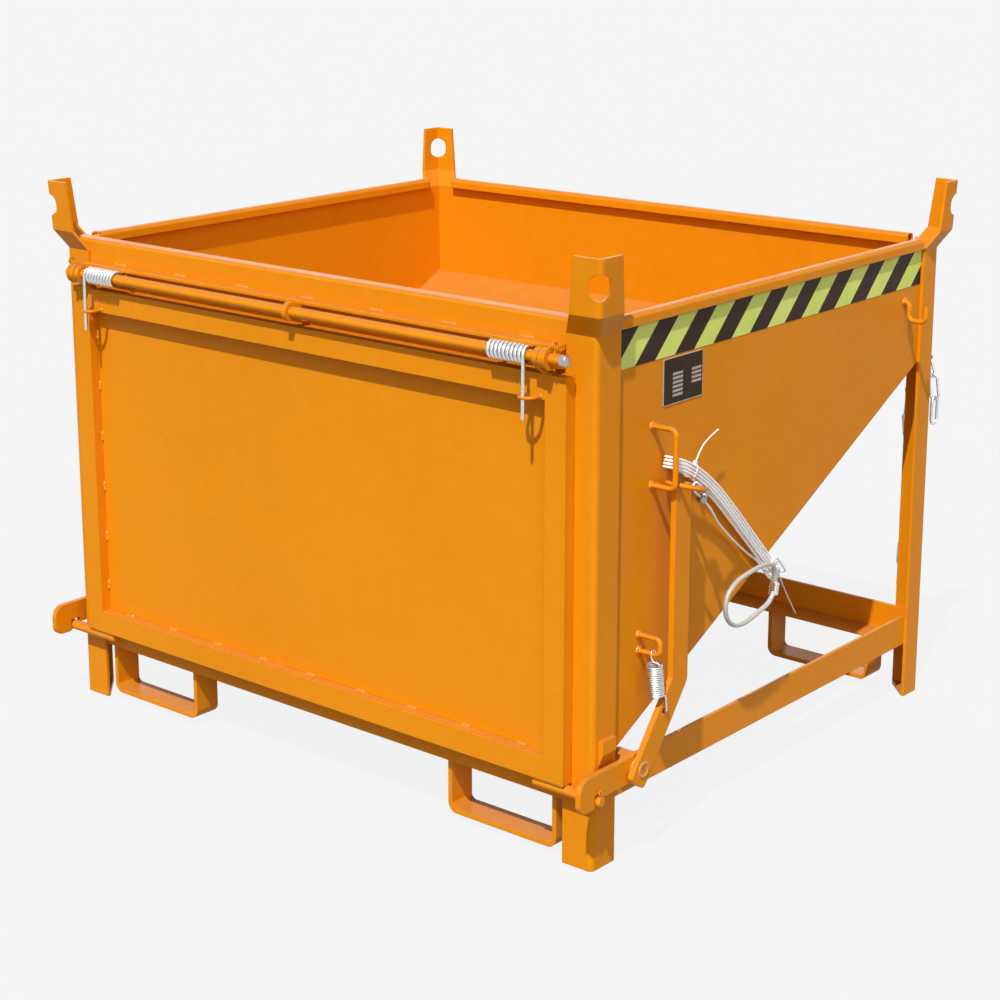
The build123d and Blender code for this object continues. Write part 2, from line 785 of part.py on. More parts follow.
with BuildPart() as flap_ears:
    for side in LEFT_RIGHT:
        with BuildSketch(from_right(side * EAR_PLACE - EAR_THICK / 2)):
            with Locations((HINGE_Y, HINGE_HEIGHT)):
                Circle(EAR_ROUND)
            with Locations((FLAP_FACE, FLAP_HIGH)):
                Rectangle(FLAP_THICK, EAR_FOOT, align=(Align.MIN, Align.MIN))
            make_hull()
            with Locations((HINGE_Y, HINGE_HEIGHT)):
                Circle(rod_bore, mode=Mode.SUBTRACT)
        extrude(amount=EAR_THICK)
save(flap_ears.part, "flap_ears")

with BuildPart() as latch_pins:
    with BuildSketch(from_right(PIN_INNER)):
        with Locations((PIN_Y, PIN_Z)):
            Circle(PIN_DIAMETER / 2)
    extrude(amount=PIN_OUTER - PIN_INNER)
    chamfer(latch_pins.edges().filter_by(GeomType.CIRCLE), PIN_CHAMFER)
    with Locations((PIN_OUTER - PIN_SPLIT_INSET, PIN_Y, PIN_Z)):
        Cylinder(PIN_SPLIT / 2 + SEAT, 2 * PIN_DIAMETER, mode=Mode.SUBTRACT)
    mirror(about=Plane.YZ)
save(latch_pins.part, "latch_pins")
save(
    split_pins(
        [Vector(side * (PIN_OUTER - PIN_SPLIT_INSET), PIN_Y, PIN_Z) for side in LEFT_RIGHT],
        PIN_SPLIT,
        PIN_SPLIT_LENGTH,
        PIN_SPLIT,
    ),
    "latch_split_pins",
)

# Latch
bush_inner = PANEL_FACE - BUSH_INSET
with BuildPart() as shaft_bushes:
    for side in LEFT_RIGHT:
        with BuildSketch(from_right(side * bush_inner)):
            with Locations((SHAFT_Y, SHAFT_HEIGHT)):
                Circle(bush_radius)
                Circle(SHAFT_DIAMETER / 2 + RUNNING, mode=Mode.SUBTRACT)
        extrude(amount=side * (HOOK_INNER - RUNNING - bush_inner))
save(shaft_bushes.part, "shaft_bushes")

with BuildPart() as latch_shaft:
    with BuildSketch(from_right(-HOOK_OUTER)):
        with Locations((SHAFT_Y, SHAFT_HEIGHT)):
            Circle(SHAFT_DIAMETER / 2)
            Circle(SHAFT_DIAMETER / 2 - SHAFT_WALL, mode=Mode.SUBTRACT)
    extrude(amount=HOOK_OUTER + LEVER_INNER)
save(latch_shaft.part, "latch_shaft")

slot_front = PIN_Y - PIN_DIAMETER / 2 - HOOK_PIN_SIDE
slot_rear = PIN_Y + PIN_DIAMETER / 2 + HOOK_PIN_SIDE
slot_top = PIN_Z + PIN_DIAMETER / 2 + HOOK_PIN_TOP
nose_front = slot_front - HOOK_NOSE_WIDTH
nose_low = slot_top - HOOK_NOSE_DROP
bar_top = slot_top + HOOK_BAR_RISE
bar_low = slot_top - HOOK_BAR_DROP
with BuildPart() as latch_hook:
    with BuildSketch(from_right(HOOK_INNER)) as plate:
        with BuildLine():
            Polyline(
                (SHAFT_Y, bar_top),
                (nose_front, bar_top),
                (nose_front, nose_low),
                (slot_front, nose_low),
                (slot_front, slot_top),
                (slot_rear, slot_top),
                (slot_rear, bar_low),
                (SHAFT_Y, bar_low),
                close=True,
            )
        make_face()
        fillet(plate.vertices().sort_by_distance((nose_front, bar_top))[0], HOOK_FRONT_ROUND)
        fillet(plate.vertices().sort_by_distance((nose_front, nose_low))[0], HOOK_TIP_ROUND)
        for corner in (
            (slot_front, nose_low),
            (slot_front, slot_top),
            (slot_rear, slot_top),
            (slot_rear, bar_low),
        ):
            fillet(plate.vertices().sort_by_distance(corner)[0], HOOK_SLOT_ROUND)
        with Locations((SHAFT_Y, SHAFT_HEIGHT)):
            Circle(HOOK_HUB)
            Circle(SHAFT_DIAMETER / 2 + SEAT, mode=Mode.SUBTRACT)
    extrude(amount=HOOK_THICK)
save_pair(latch_hook.part, "latch_hook")

with BuildPart() as hook_guides:
    with BuildSketch(from_front(FRONT + GUIDE_START)):
        with BuildLine():
            Polyline(
                (SIDE, GUIDE_LOW),
                (SIDE + GUIDE_OUT, (GUIDE_LOW + GUIDE_HIGH) / 2),
                (SIDE + GUIDE_OUT, GUIDE_HIGH),
                (SIDE, GUIDE_HIGH),
                close=True,
            )
        make_face()
    extrude(amount=-GUIDE_LENGTH)
    mirror(about=Plane.YZ)
save(hook_guides.part, "hook_guides")

with BuildPart() as lever_ring:
    with Locations(Location((LEVER_MIDDLE, FRONT + RING_BACK, RING_HEIGHT), (-RING_TILT, 0, 0))):
        Torus(RING_MEAN, RING_WIRE / 2)
save(lever_ring.part, "lever_ring")

lean = math.radians(LEVER_LEAN)
lever_hole = (
    SHAFT_Y + LEVER_HOLE_ALONG * math.sin(lean) - LEVER_HOLE_OFF * math.cos(lean),
    SHAFT_HEIGHT + LEVER_HOLE_ALONG * math.cos(lean) + LEVER_HOLE_OFF * math.sin(lean),
)
lever_bend = SHAFT_HEIGHT + (LEVER_BACK - SHAFT_BACK) / math.tan(lean)
toe = (SHAFT_Y - LEVER_FOOT * math.sin(lean), SHAFT_HEIGHT - LEVER_FOOT * math.cos(lean))
bend = (FRONT + LEVER_BACK, lever_bend)
with BuildPart() as latch_lever:
    with BuildSketch(from_right(LEVER_INNER)) as outline:
        with Locations(((toe[0] + bend[0]) / 2, (toe[1] + bend[1]) / 2)):
            Rectangle(LEVER_WIDTH, math.dist(toe, bend), rotation=-LEVER_LEAN)
        fillet(outline.vertices().sort_by_distance(toe)[:2], LEVER_FOOT_ROUND)
        with Locations(bend):
            Circle(LEVER_WIDTH / 2)
        with Locations((bend[0], (bend[1] + LEVER_TOP) / 2)):
            Rectangle(LEVER_WIDTH, LEVER_TOP - bend[1])
        with Locations((SHAFT_Y, SHAFT_HEIGHT)):
            Circle(LEVER_PLUG / 2, mode=Mode.SUBTRACT)
        with Locations(lever_hole):
            Circle(LEVER_HOLE / 2, mode=Mode.SUBTRACT)
    extrude(amount=LEVER_THICK)
    add(lever_ring.part, mode=Mode.SUBTRACT)
save(latch_lever.part, "latch_lever")


def panel_bar(back_points, wire, radius):
    """Round bar bent through points (reach, distance behind the front, height) off the right panel."""
    with BuildPart() as bar:
        with BuildLine() as path:
            corners = [in_side_view(PANEL_FACE + out, back, height) for out, back, height in back_points]
            FilletPolyline(*corners, radius=radius)
        with BuildSketch(Plane(path.line @ 0, z_dir=path.line % 0)):
            Circle(wire / 2)
        sweep()
    return bar.part


staple = (
    (0, STAPLE_BACK, STAPLE_HIGH),
    (STAPLE_REACH, STAPLE_BACK, STAPLE_HIGH),
    (STAPLE_REACH, STAPLE_BACK, STAPLE_LOW),
    (0, STAPLE_BACK, STAPLE_LOW),
)
save(panel_bar(staple, STAPLE_WIRE, STAPLE_ROUND), "spring_staple")

keeper = (
    (0, KEEPER_BACK, KEEPER_HIGH),
    (KEEPER_REACH, KEEPER_BACK, KEEPER_HIGH),
    (KEEPER_REACH, KEEPER_BACK, KEEPER_LOW),
    (0, KEEPER_BACK, KEEPER_LOW),
)
save(panel_bar(keeper, KEEPER_WIRE, KEEPER_ROUND), "rope_keeper")

j_hook = (
    (0, J_BACK, J_ROOT),
    (J_NECK, J_BACK, J_ROOT),
    (J_NECK, J_BACK, J_BOTTOM),
    (J_REACH, J_BACK, J_BOTTOM),
    (J_REACH, J_BACK, J_TIP),
)
save(panel_bar(j_hook, J_WIRE, J_ROUND), "rope_hook")

# Return spring: hooked over the staple's lower leg, its other end through the lever's hole from outside
coil_radius = (COIL_OUTER - COIL_WIRE) / 2
hook_radius = STAPLE_WIRE / 2 + RUNNING + COIL_WIRE / 2
hang = in_side_view(PANEL_FACE + STAPLE_REACH - STAPLE_SPRING_INSET, STAPLE_BACK, STAPLE_LOW)
wire_off = LEVER_OUTER + COIL_OFF_LEVER + COIL_WIRE / 2
hole = Vector(wire_off, *lever_hole)
beside_hole = hole - X_WAY * coil_radius
rearward = X_WAY.cross(beside_hole - hang).normalized()
axis = (beside_hole - rearward * COIL_HOOK - hang).normalized()
rearward = X_WAY.cross(axis).normalized()
outward = axis.cross(rearward)
with BuildPart() as return_spring:
    with BuildLine() as wire:
        stations = [
            (hang + rearward * hook_radius + axis * COIL_WIRE, -axis),
            (hang + rearward * hook_radius, -axis),
            (hang - axis * hook_radius, -rearward),
            (hang - rearward * hook_radius, axis),
            (hang + axis * COIL_NECK, axis),
        ]
        coil_start = hang + axis * COIL_START
        for quarter in range(4 * COIL_TURNS + 1):
            angle = 90 * quarter
            stations.append(on_coil(coil_start, axis, outward, rearward, coil_radius, COIL_PITCH, angle))
        coil_end = stations[-1][0]
        drop_start = coil_end + (rearward + axis) * COIL_HOOK
        into_hole = hole - X_WAY * COIL_HOOK
        turn_in = hole - axis * COIL_HOOK
        stations.append((drop_start, axis))
        stations.append((turn_in, axis))
        stations.append((into_hole, -X_WAY))
        stations.append((into_hole - X_WAY * (LEVER_THICK + COIL_OFF_LEVER), -X_WAY))
        follow(stations)
    with BuildSketch(Plane(wire.line @ 0, z_dir=wire.line % 0)):
        Circle(COIL_WIRE / 2)
    sweep()
print("return spring, least gap", round(least_gap(wire.wires()[0], COIL_WIRE), 2))
save(return_spring.part, "return_spring")

# Release rope
def downhill(slope):
    """Direction to the rear that drops below the level by an angle in degrees."""
    return Vector(0, math.cos(math.radians(slope)), -math.sin(math.radians(slope)))


def in_hank(place, slope, layer, outward):
    """Point in the hank: a layer counted from below, and a distance outwards from the strands by the panel."""
    upward = X_WAY.cross(downhill(slope)) * HANK_STEP * (layer - (HANK_LOOPS - 1) / 2)
    return in_side_view(PANEL_FACE + HANK_OFF_PANEL + outward, *place) + upward


def low_bight(layer, outer):
    """Stations round a lower bight, from the strand by the panel out to a strand at a distance from it."""
    inner_end = in_hank(HANK_BOTTOM, HANK_BOTTOM_LEAN, layer, 0)
    tip = in_hank(HANK_BOTTOM, HANK_BOTTOM_LEAN, layer, outer / 2) + lower_way * outer / 2
    outer_end = in_hank(HANK_BOTTOM, HANK_BOTTOM_LEAN, layer, outer)
    return [(inner_end, lower_way), (tip, X_WAY), (outer_end, -lower_way)]


upper_way = downhill(HANK_UPPER_LEAN)
tied_way = downhill(HANK_TIED_LEAN)
top_way = downhill(HANK_TOP_LEAN)
lower_way = downhill(HANK_BOTTOM_LEAN)
lower_across = X_WAY.cross(lower_way)
hank_deep = 2 * HANK_BIGHT
hank_stations = []
for layer in range(HANK_LOOPS):
    top_tip = in_hank(HANK_TOP, HANK_TOP_LEAN, layer, HANK_BIGHT) - top_way * HANK_BIGHT
    hank_stations += low_bight(layer, hank_deep)
    hank_stations += [
        (in_hank(HANK_UPPER, HANK_UPPER_LEAN, layer, hank_deep), -upper_way),
        (in_hank(HANK_TIED, HANK_TIED_LEAN, layer, hank_deep), -tied_way),
        (in_hank(HANK_TOP, HANK_TOP_LEAN, layer, hank_deep), -top_way),
        (top_tip, -X_WAY),
        (in_hank(HANK_TOP, HANK_TOP_LEAN, layer, 0), top_way),
        (in_hank(HANK_TIED, HANK_TIED_LEAN, layer, 0), tied_way),
        (in_hank(HANK_UPPER, HANK_UPPER_LEAN, layer + 0.5, 0), upper_way),
    ]
hank_start = hank_stations[0][0] - lower_way * HANK_LEAD
hank_stations.insert(0, (hank_start, lower_way))
hank_stations += low_bight(HANK_LOOPS, HANK_END_OUT)
crimp_up = Vector(0, math.sin(math.radians(CRIMP_LEAN)), math.cos(math.radians(CRIMP_LEAN)))
back_up = hank_stations[-1][0] - lower_way * HANK_END_LEAD
below = in_side_view(back_up.X, *HANK_BOTTOM) - lower_way * HANK_END_LEAD - lower_across * HANK_END_OFF
half_across = (back_up - below).length / 2
over = (back_up + below) / 2 - lower_way * half_across
turn = math.radians(lower_way.get_angle(-crimp_up))
turn_to = below + lower_way * HANK_END_TURN * math.sin(turn)
turn_to -= lower_across * HANK_END_TURN * (1 - math.cos(turn))
hank_end = turn_to - crimp_up * HANK_END_DROP
hank_stations += [(back_up, -lower_way), (over, -lower_across), (below, lower_way), (turn_to, -crimp_up)]
hank_stations.append((hank_end, -crimp_up))
with BuildPart() as rope_hank:
    with BuildLine() as path:
        follow(hank_stations)
    with BuildSketch(Plane(path.line @ 0, z_dir=path.line % 0)):
        Circle(ROPE / 2)
    sweep()
hank_length = path.wires()[0].length
print("hank, least gap", round(least_gap(path.wires()[0], ROPE), 2), "length", round(hank_length))
save(rope_hank.part, "rope_hank")

ring_wire = in_side_view(LEVER_MIDDLE, RING_BACK + RING_REACH, RING_HEIGHT - RING_DROP)
along = downhill(ROPE_EYE_LEAN)
across = X_WAY.cross(along)
eye = RING_WIRE / 2 + ROPE / 2 + RUNNING
tail_points = [
    ring_wire + across * eye + along * DEAD_END,
    ring_wire + across * eye - along * eye,
    ring_wire - across * eye - along * eye,
    ring_wire - across * eye + along * LIVE_LEAD,
]
for share, back, height in TAIL_ROUTE:
    tail_points.append(in_side_view(hank_start.X + share * (LEVER_MIDDLE - hank_start.X), back, height))
tail_points += [hank_start - lower_way * HANK_LEAD, hank_start]
tail_radii = corner_radii(tail_points)
with BuildPart() as rope_tail:
    with BuildLine() as path:
        FilletPolyline(*tail_points, radius=tail_radii)
    with BuildSketch(Plane(path.line @ 0, z_dir=path.line % 0)):
        Circle(ROPE / 2)
    sweep()
tail_length = path.wires()[0].length
print("rope tail, radii", [round(radius, 1) for radius in tail_radii], "length", round(tail_length))
tube_volume = math.pi * ROPE**2 / 4 * tail_length
print("rope tail, volume against section times length", round(rope_tail.part.volume / tube_volume, 4))
save(rope_tail.part, "rope_tail")

clip_centre = ring_wire + along * CLIP_PLACE
clip_height = 2 * eye + ROPE + 2 * CLIP_MARGIN
with BuildPart() as rope_clip:
    clip_plane = Plane(origin=clip_centre - along * CLIP_LENGTH / 2, x_dir=X_WAY, z_dir=along)
    with BuildSketch(clip_plane):
        RectangleRounded(CLIP_DEPTH, clip_height, CLIP_MARGIN / 2)
        with Locations((0, eye), (0, -eye)):
            Circle(ROPE / 2 + SEAT, mode=Mode.SUBTRACT)
    extrude(amount=CLIP_LENGTH)
save(rope_clip.part, "rope_clip")

# Grab loop: both its ends and the rope's end are held in one crimped ferrule
crimp_foot = hank_end - crimp_up * CRIMP_HEIGHT
grab_x = hank_end.X + GRAB_OUT
with BuildPart() as rope_crimp:
    low_x, high_x = hank_end.X - ROPE / 2 - RUNNING, grab_x + CRIMP_MARGIN
    middle = Vector((low_x + high_x) / 2, crimp_foot.Y, crimp_foot.Z)
    with BuildSketch(Plane(origin=middle, x_dir=X_WAY, z_dir=crimp_up)):
        RectangleRounded(high_x - low_x, 2 * CRIMP_MARGIN, ROPE / 2)
    extrude(amount=CRIMP_HEIGHT)
save(rope_crimp.part, "rope_crimp")

grab_stations = [
    (Vector(grab_x, hank_end.Y, hank_end.Z), crimp_up),
    (in_side_view(grab_x, *GRAB_CROWN), TO_FRONT),
    (in_side_view(grab_x, *GRAB_FRONT), DOWN),
    (in_side_view(grab_x, *GRAB_SAG), downhill(-GRAB_SAG_RISE)),
    (Vector(grab_x, crimp_foot.Y, crimp_foot.Z), crimp_up),
]
with BuildPart() as rope_grab_loop:
    with BuildLine() as path:
        follow(grab_stations)
    with BuildSketch(Plane(path.line @ 0, z_dir=path.line % 0)):
        Circle(GRAB_TUBE / 2)
    sweep()
print("grab loop, length", round(path.wires()[0].length))
save(rope_grab_loop.part, "rope_grab_loop")

bundle_wide = hank_deep + ROPE + 2 * TIE_SLACK
bundle_x = PANEL_FACE + HANK_OFF_PANEL + HANK_BIGHT
head_off = (TIE_BAND + TIE_HEAD) / 2
top_high = (HANK_LOOPS - 1) * HANK_STEP + ROPE + 2 * TIE_SLACK
low_high = top_high + HANK_STEP
top_tie = in_side_view(bundle_x, *HANK_TIED)
low_tie = in_side_view(bundle_x, *HANK_BOTTOM) - lower_way * LOW_TIE_UP + lower_across * HANK_STEP / 2
top_head = X_WAY.cross(tied_way) * (top_high / 2 + head_off)
low_head = X_WAY * (bundle_wide / 2 + head_off) - lower_across * LOW_TIE_HEAD_DROP
with BuildPart() as cable_ties:
    for middle, heading, high, to_head, way, length in (
        (top_tie, tied_way, top_high, top_head, TOP_TIE_WAY, TOP_TIE_TAIL),
        (low_tie, lower_way, low_high, low_head, LOW_TIE_WAY, LOW_TIE_TAIL),
    ):
        with BuildSketch(Plane(origin=middle - heading * TIE_WIDTH / 2, x_dir=X_WAY, z_dir=heading)):
            RectangleRounded(bundle_wide + 2 * TIE_BAND, high + 2 * TIE_BAND, ROPE / 2 + TIE_BAND)
            RectangleRounded(bundle_wide, high, ROPE / 2, mode=Mode.SUBTRACT)
        extrude(amount=TIE_WIDTH)
        with Locations(Plane(origin=middle + to_head, x_dir=X_WAY, z_dir=heading)):
            Box(TIE_HEAD, TIE_HEAD, TIE_HEAD)
        with BuildSketch(Plane(origin=middle + to_head, x_dir=X_WAY, z_dir=(0, *way))):
            Rectangle(TIE_WIDTH, TIE_BAND)
        extrude(amount=length)
save(cable_ties.part, "cable_ties")

# Trim on the right panel
with BuildPart() as hazard_tape:
    tape_start = FRONT + FRONT_LEG + TRIM_GAP
    tape_end = REAR - REAR_LEG - TRIM_GAP
    with BuildSketch(from_right(PANEL_FACE)):
        with Locations((tape_start, TAPE_LOW)):
            Rectangle(tape_end - tape_start, TAPE_HEIGHT, align=(Align.MIN, Align.MIN))
    extrude(amount=TAPE_THICK)
save(hazard_tape.part, "hazard_tape")

with BuildPart() as type_plate:
    with BuildSketch(from_right(PANEL_FACE)):
        with Locations((FRONT + PLATE_BACK + PLATE_LENGTH / 2, PLATE_LOW + PLATE_HEIGHT / 2)):
            RectangleRounded(PLATE_LENGTH, PLATE_HEIGHT, PLATE_ROUND)
    extrude(amount=PLATE_THICK)
save(type_plate.part, "type_plate")

# Securing chain
chain_y = REAR + CHAIN_STAPLE_REACH
staple_x = SIDE - CHAIN_STAPLE_INSET
with BuildPart() as chain_staple:
    left, right = staple_x - CHAIN_STAPLE_WIDTH / 2, staple_x + CHAIN_STAPLE_WIDTH / 2
    with BuildLine() as path:
        FilletPolyline(
            (left, REAR, CHAIN_STAPLE_HEIGHT),
            (left, chain_y, CHAIN_STAPLE_HEIGHT),
            (right, chain_y, CHAIN_STAPLE_HEIGHT),
            (right, REAR, CHAIN_STAPLE_HEIGHT),
            radius=CHAIN_STAPLE_ROUND,
        )
    with BuildSketch(Plane(path.line @ 0, z_dir=path.line % 0)):
        Circle(CHAIN_STAPLE_WIRE / 2)
    sweep()
save(chain_staple.part, "chain_staple")


def oval_link(first_tip, way, flat, length, width, wire):
    """Oval link of round bar from the crown of its upper bend, along way, its width along flat."""
    radius = (width - wire) / 2
    upper = first_tip + way * radius
    lower = first_tip + way * (length - wire - radius)
    with BuildPart() as link:
        with BuildLine() as oval:
            Line(upper + flat * radius, lower + flat * radius)
            ThreePointArc(lower + flat * radius, lower + way * radius, lower - flat * radius)
            Line(lower - flat * radius, upper - flat * radius)
            ThreePointArc(upper - flat * radius, upper - way * radius, upper + flat * radius)
        with BuildSketch(Plane(upper + flat * radius, z_dir=way)):
            Circle(wire / 2)
        sweep(path=oval.wires()[0])
    return link.part


rearwards = -TO_FRONT
apart = LINK_WIRE + CHAIN_GAP
links = []
for start, leans in ((-CHAIN_SPREAD, CHAIN_LONG_LEANS), (CHAIN_SPREAD, CHAIN_SHORT_LEANS)):
    place = Vector(staple_x + start, chain_y, CHAIN_STAPLE_HEIGHT)
    for number, link_lean in enumerate(leans):
        tilt = math.radians(link_lean)
        way = Vector(-math.sin(tilt), 0, -math.cos(tilt))
        if number == 0:
            tip = place - way * (CHAIN_STAPLE_WIRE / 2 / math.cos(tilt) + LINK_WIRE / 2 + CHAIN_GAP)
        else:
            tip = place - way * apart / 2
        flat = rearwards if number % 2 == 0 else rearwards.cross(way)
        links.append(oval_link(tip, way, flat, LINK_LENGTH, LINK_WIDTH, LINK_WIRE))
        place = tip + way * (LINK_LENGTH - LINK_WIRE - apart / 2)
snap_tip = place + UP * (SNAP_WIRE - LINK_WIRE + apart) / 2
links.append(oval_link(snap_tip, DOWN, rearwards, SNAP_LENGTH, SNAP_WIDTH, SNAP_WIRE))
with BuildPart() as securing_chain:
    add(links)
save(securing_chain.part, "securing_chain")
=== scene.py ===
import json
import math

import bpy
import numpy as np
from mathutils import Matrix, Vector


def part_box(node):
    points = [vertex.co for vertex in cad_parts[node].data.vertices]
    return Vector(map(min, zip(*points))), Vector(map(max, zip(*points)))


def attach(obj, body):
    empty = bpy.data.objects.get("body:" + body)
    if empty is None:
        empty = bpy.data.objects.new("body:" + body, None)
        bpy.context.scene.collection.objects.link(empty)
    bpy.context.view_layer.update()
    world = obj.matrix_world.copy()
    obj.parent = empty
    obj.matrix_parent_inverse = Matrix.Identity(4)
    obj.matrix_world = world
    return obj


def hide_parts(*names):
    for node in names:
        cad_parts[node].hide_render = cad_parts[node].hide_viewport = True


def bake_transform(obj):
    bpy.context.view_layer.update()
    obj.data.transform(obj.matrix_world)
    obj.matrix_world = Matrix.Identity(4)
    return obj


# Silo container, dressed for the photograph. Metres: X to the right, Y to the rear, Z up from the ground.
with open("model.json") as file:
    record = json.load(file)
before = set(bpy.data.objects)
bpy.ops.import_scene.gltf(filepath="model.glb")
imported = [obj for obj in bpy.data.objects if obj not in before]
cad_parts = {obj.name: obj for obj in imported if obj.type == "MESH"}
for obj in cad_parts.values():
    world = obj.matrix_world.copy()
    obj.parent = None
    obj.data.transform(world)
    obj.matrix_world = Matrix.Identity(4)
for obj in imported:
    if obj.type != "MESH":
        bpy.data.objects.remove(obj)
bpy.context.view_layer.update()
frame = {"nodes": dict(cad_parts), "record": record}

# Camera at the photograph's viewing angle, for a square picture
CAMERA_PLACE = (2.4708, -2.9658, 1.5165)
CAMERA_YAW = math.radians(-40.056)
CAMERA_PITCH = math.radians(13.872)
CAMERA_LENS = 78.18
CAMERA_SHIFT = (0.0067, -0.1)

# Light: a sun high in front and a little to the right, broad fills from the right and behind, and an even sky
SUN_WAY = (-0.191, 0.487, -0.852)
SUN_STRENGTH = 4.1
SUN_ANGLE = math.radians(1.0)
FILL_WAY = (-0.65, 0.5, -0.57)
FILL_STRENGTH = 0.88
FILL_ANGLE = math.radians(60)
BACK_WAY = (0.5, -0.75, -0.45)
BACK_STRENGTH = 0.6
SKY = 0.28
BACKGROUND = 0.913
FLOOR_ALBEDO = 0.2
FLOOR_MOTTLE = 0.004
FLOOR_GLOW = 0.992
FLOOR_HALF = 60.0
FLOOR_SHADOW = 0.12

X_WAY = Vector((1, 0, 0))
Y_WAY = Vector((0, 1, 0))
UP = Vector((0, 0, 1))
FRONT = -0.505

# Release rope: places are a distance behind the front and a height, after X where that varies
ROPE = 0.004
ROPE_STRANDS = 6
ROPE_LAY = 0.03
ROPE_RELIEF = 0.0003
ROPE_SIDES = 24
HANK_INNER = 0.602
HANK_OUTER = 0.619
HANK_END_X = 0.6254
HANK_STEP = 0.0052
HANK_LOOPS = 4
HANK_TOP = ((0.173, 0.6245), math.radians(18))
HANK_BOTTOM = ((0.478, 0.368), math.radians(48))
HANK_RUN = (
    ((0.437, 0.4095), math.radians(47)),
    ((0.396, 0.451), math.radians(45)),
    ((0.354, 0.494), math.radians(44)),
    ((0.313, 0.535), math.radians(43)),
    ((0.272, 0.571), math.radians(37)),
    ((0.230, 0.600), math.radians(31)),
    ((0.197, 0.616), math.radians(24)),
)
HANK_END_LEAD = 0.030
HANK_END_OFF = 0.012
BIGHT_ANGLES = (-67.5, -22.5, 22.5, 67.5)
BIGHT_REACH = 1 / math.cos(math.radians(22.5))
RING_WIRE = Vector((0.631, FRONT + 0.2155, 0.579))
EYE_LEAN = math.radians(39.3)
EYE_ROUTE = (
    (0.0063, 0.046),
    (0.0063, 0.034),
    (0.0063, 0.022),
    (0.008, -0.009),
    (-0.008, -0.009),
    (-0.0063, 0.022),
    (-0.0063, 0.034),
    (-0.0075, 0.058),
)
TAIL_ROUTE = (
    (0.6228, 0.290, 0.502),
    (0.6132, 0.331, 0.473),
    (0.6052, 0.371, 0.445),
    (0.6030, 0.409, 0.4175),
    (0.6020, 0.4400, 0.3975),
    (0.6020, 0.4588, 0.3776),
)
HANK_END_ROUTE = ((0.4545, 0.3765), (0.4490, 0.3560))
GRAB_TUBE = 0.008
GRAB_X = 0.6322
GRAB_ROUTE = (
    (0.4487, 0.3577),
    (0.4525, 0.379),
    (0.440, 0.399),
    (0.412, 0.404),
    (0.375, 0.4015),
    (0.335, 0.396),
    (0.306, 0.378),
    (0.303, 0.347),
    (0.322, 0.323),
    (0.358, 0.3155),
    (0.399, 0.3245),
    (0.439, 0.334),
    (0.4475, 0.352),
)
CRIMP_LEAN = math.radians(12)
CRIMP_HALF = (0.00755, 0.006, 0.011)
CRIMP_SIDES = 40
CRIMP_RINGS = 41
CRIMP_SQUARENESS = 0.55
CRIMP_PRESS = 0.09
CRIMP_WAVES = 2.5
CRIMP_EDGE = 0.9

# Lines and tubes: spline steps, places of the rings at a round end, and a way that no tube starts along
SPLINE_STEPS = 24
END_RINGS = (0.02, 0.15, 0.45, 1.0)
SLANT_WAY = (0.36, 0.48, 0.8)

# Rope clip: two plates with a bulge over each part of the eye, and a nut on each plate
CLIP_ALONG = 0.026
CLIP_HALF_LONG = 0.0065
CLIP_HALF_HIGH = 0.0133
CLIP_HALF_GAP = 0.0012
CLIP_THICK = 0.0028
CLIP_BULGE = 0.0018
CLIP_BULGE_OFF = 0.0063
CLIP_BULGE_WIDE = 0.0028
CLIP_BEVEL = 0.0005
NUT_RADIUS = 0.0042
NUT_FROM = 0.0039
NUT_HIGH = 0.0025

# Cable ties on the hank: place, slope, half width and height of the band, way to the head, and the tail's run
TIE_WIDTH = 0.0032
TIE_THICK = 0.0012
TIE_HEAD = 0.006
TIE_TAPER = 0.8
TIE_POINTS = 48
TIE_SQUARENESS = 0.4
TIE_CORNER = 0.6
TIE_X = 0.6105
TIES = (
    (
        (0.230, 0.5985),
        math.radians(31),
        (0.0112, 0.0108),
        (0.003, 0.014),
        ((0.010, 0.016), (0.030, 0.032), (0.062, 0.042)),
    ),
    (
        (0.4652, 0.3861),
        math.radians(48),
        (0.0112, 0.0134),
        (0.0147, -0.003),
        ((0.020, -0.034), (0.042, -0.066), (0.064, -0.096)),
    ),
)

# Torsion springs on the hinge rod
SPRING_WIRE = 0.006
SPRING_RADIUS = 0.0125
SPRING_PITCH = 0.0076
SPRING_INNER_END = 0.428
SPRING_ANGLES = (-15, 3334)
SPRING_TAIL = 0.012
SPRING_LEG_LOW = 0.715
SPRING_LEG_POINTS = 12
SPRING_POINTS = 371
SPRING_SIDES = 18

# Return spring of the lever
COIL_WIRE = 0.003
COIL_RADIUS = 0.0125
COIL_PITCH = 0.0036
COIL_TURNS = 14
COIL_START = 0.0165
COIL_HOOK = 0.0075
COIL_HOOK_RADIUS = 0.0058
COIL_HANG = Vector((0.623, FRONT + 0.121, 0.33))
COIL_HOLE = Vector((0.641, FRONT + 0.1346, 0.236))
COIL_INTO_HOLE = 0.0135
COIL_NECK = 0.010
COIL_NECK_LEAD = 0.003
COIL_NECK_LIFT = 0.001
COIL_POINTS = 24
COIL_HOOK_POINTS = 13
COIL_SIDES = 14

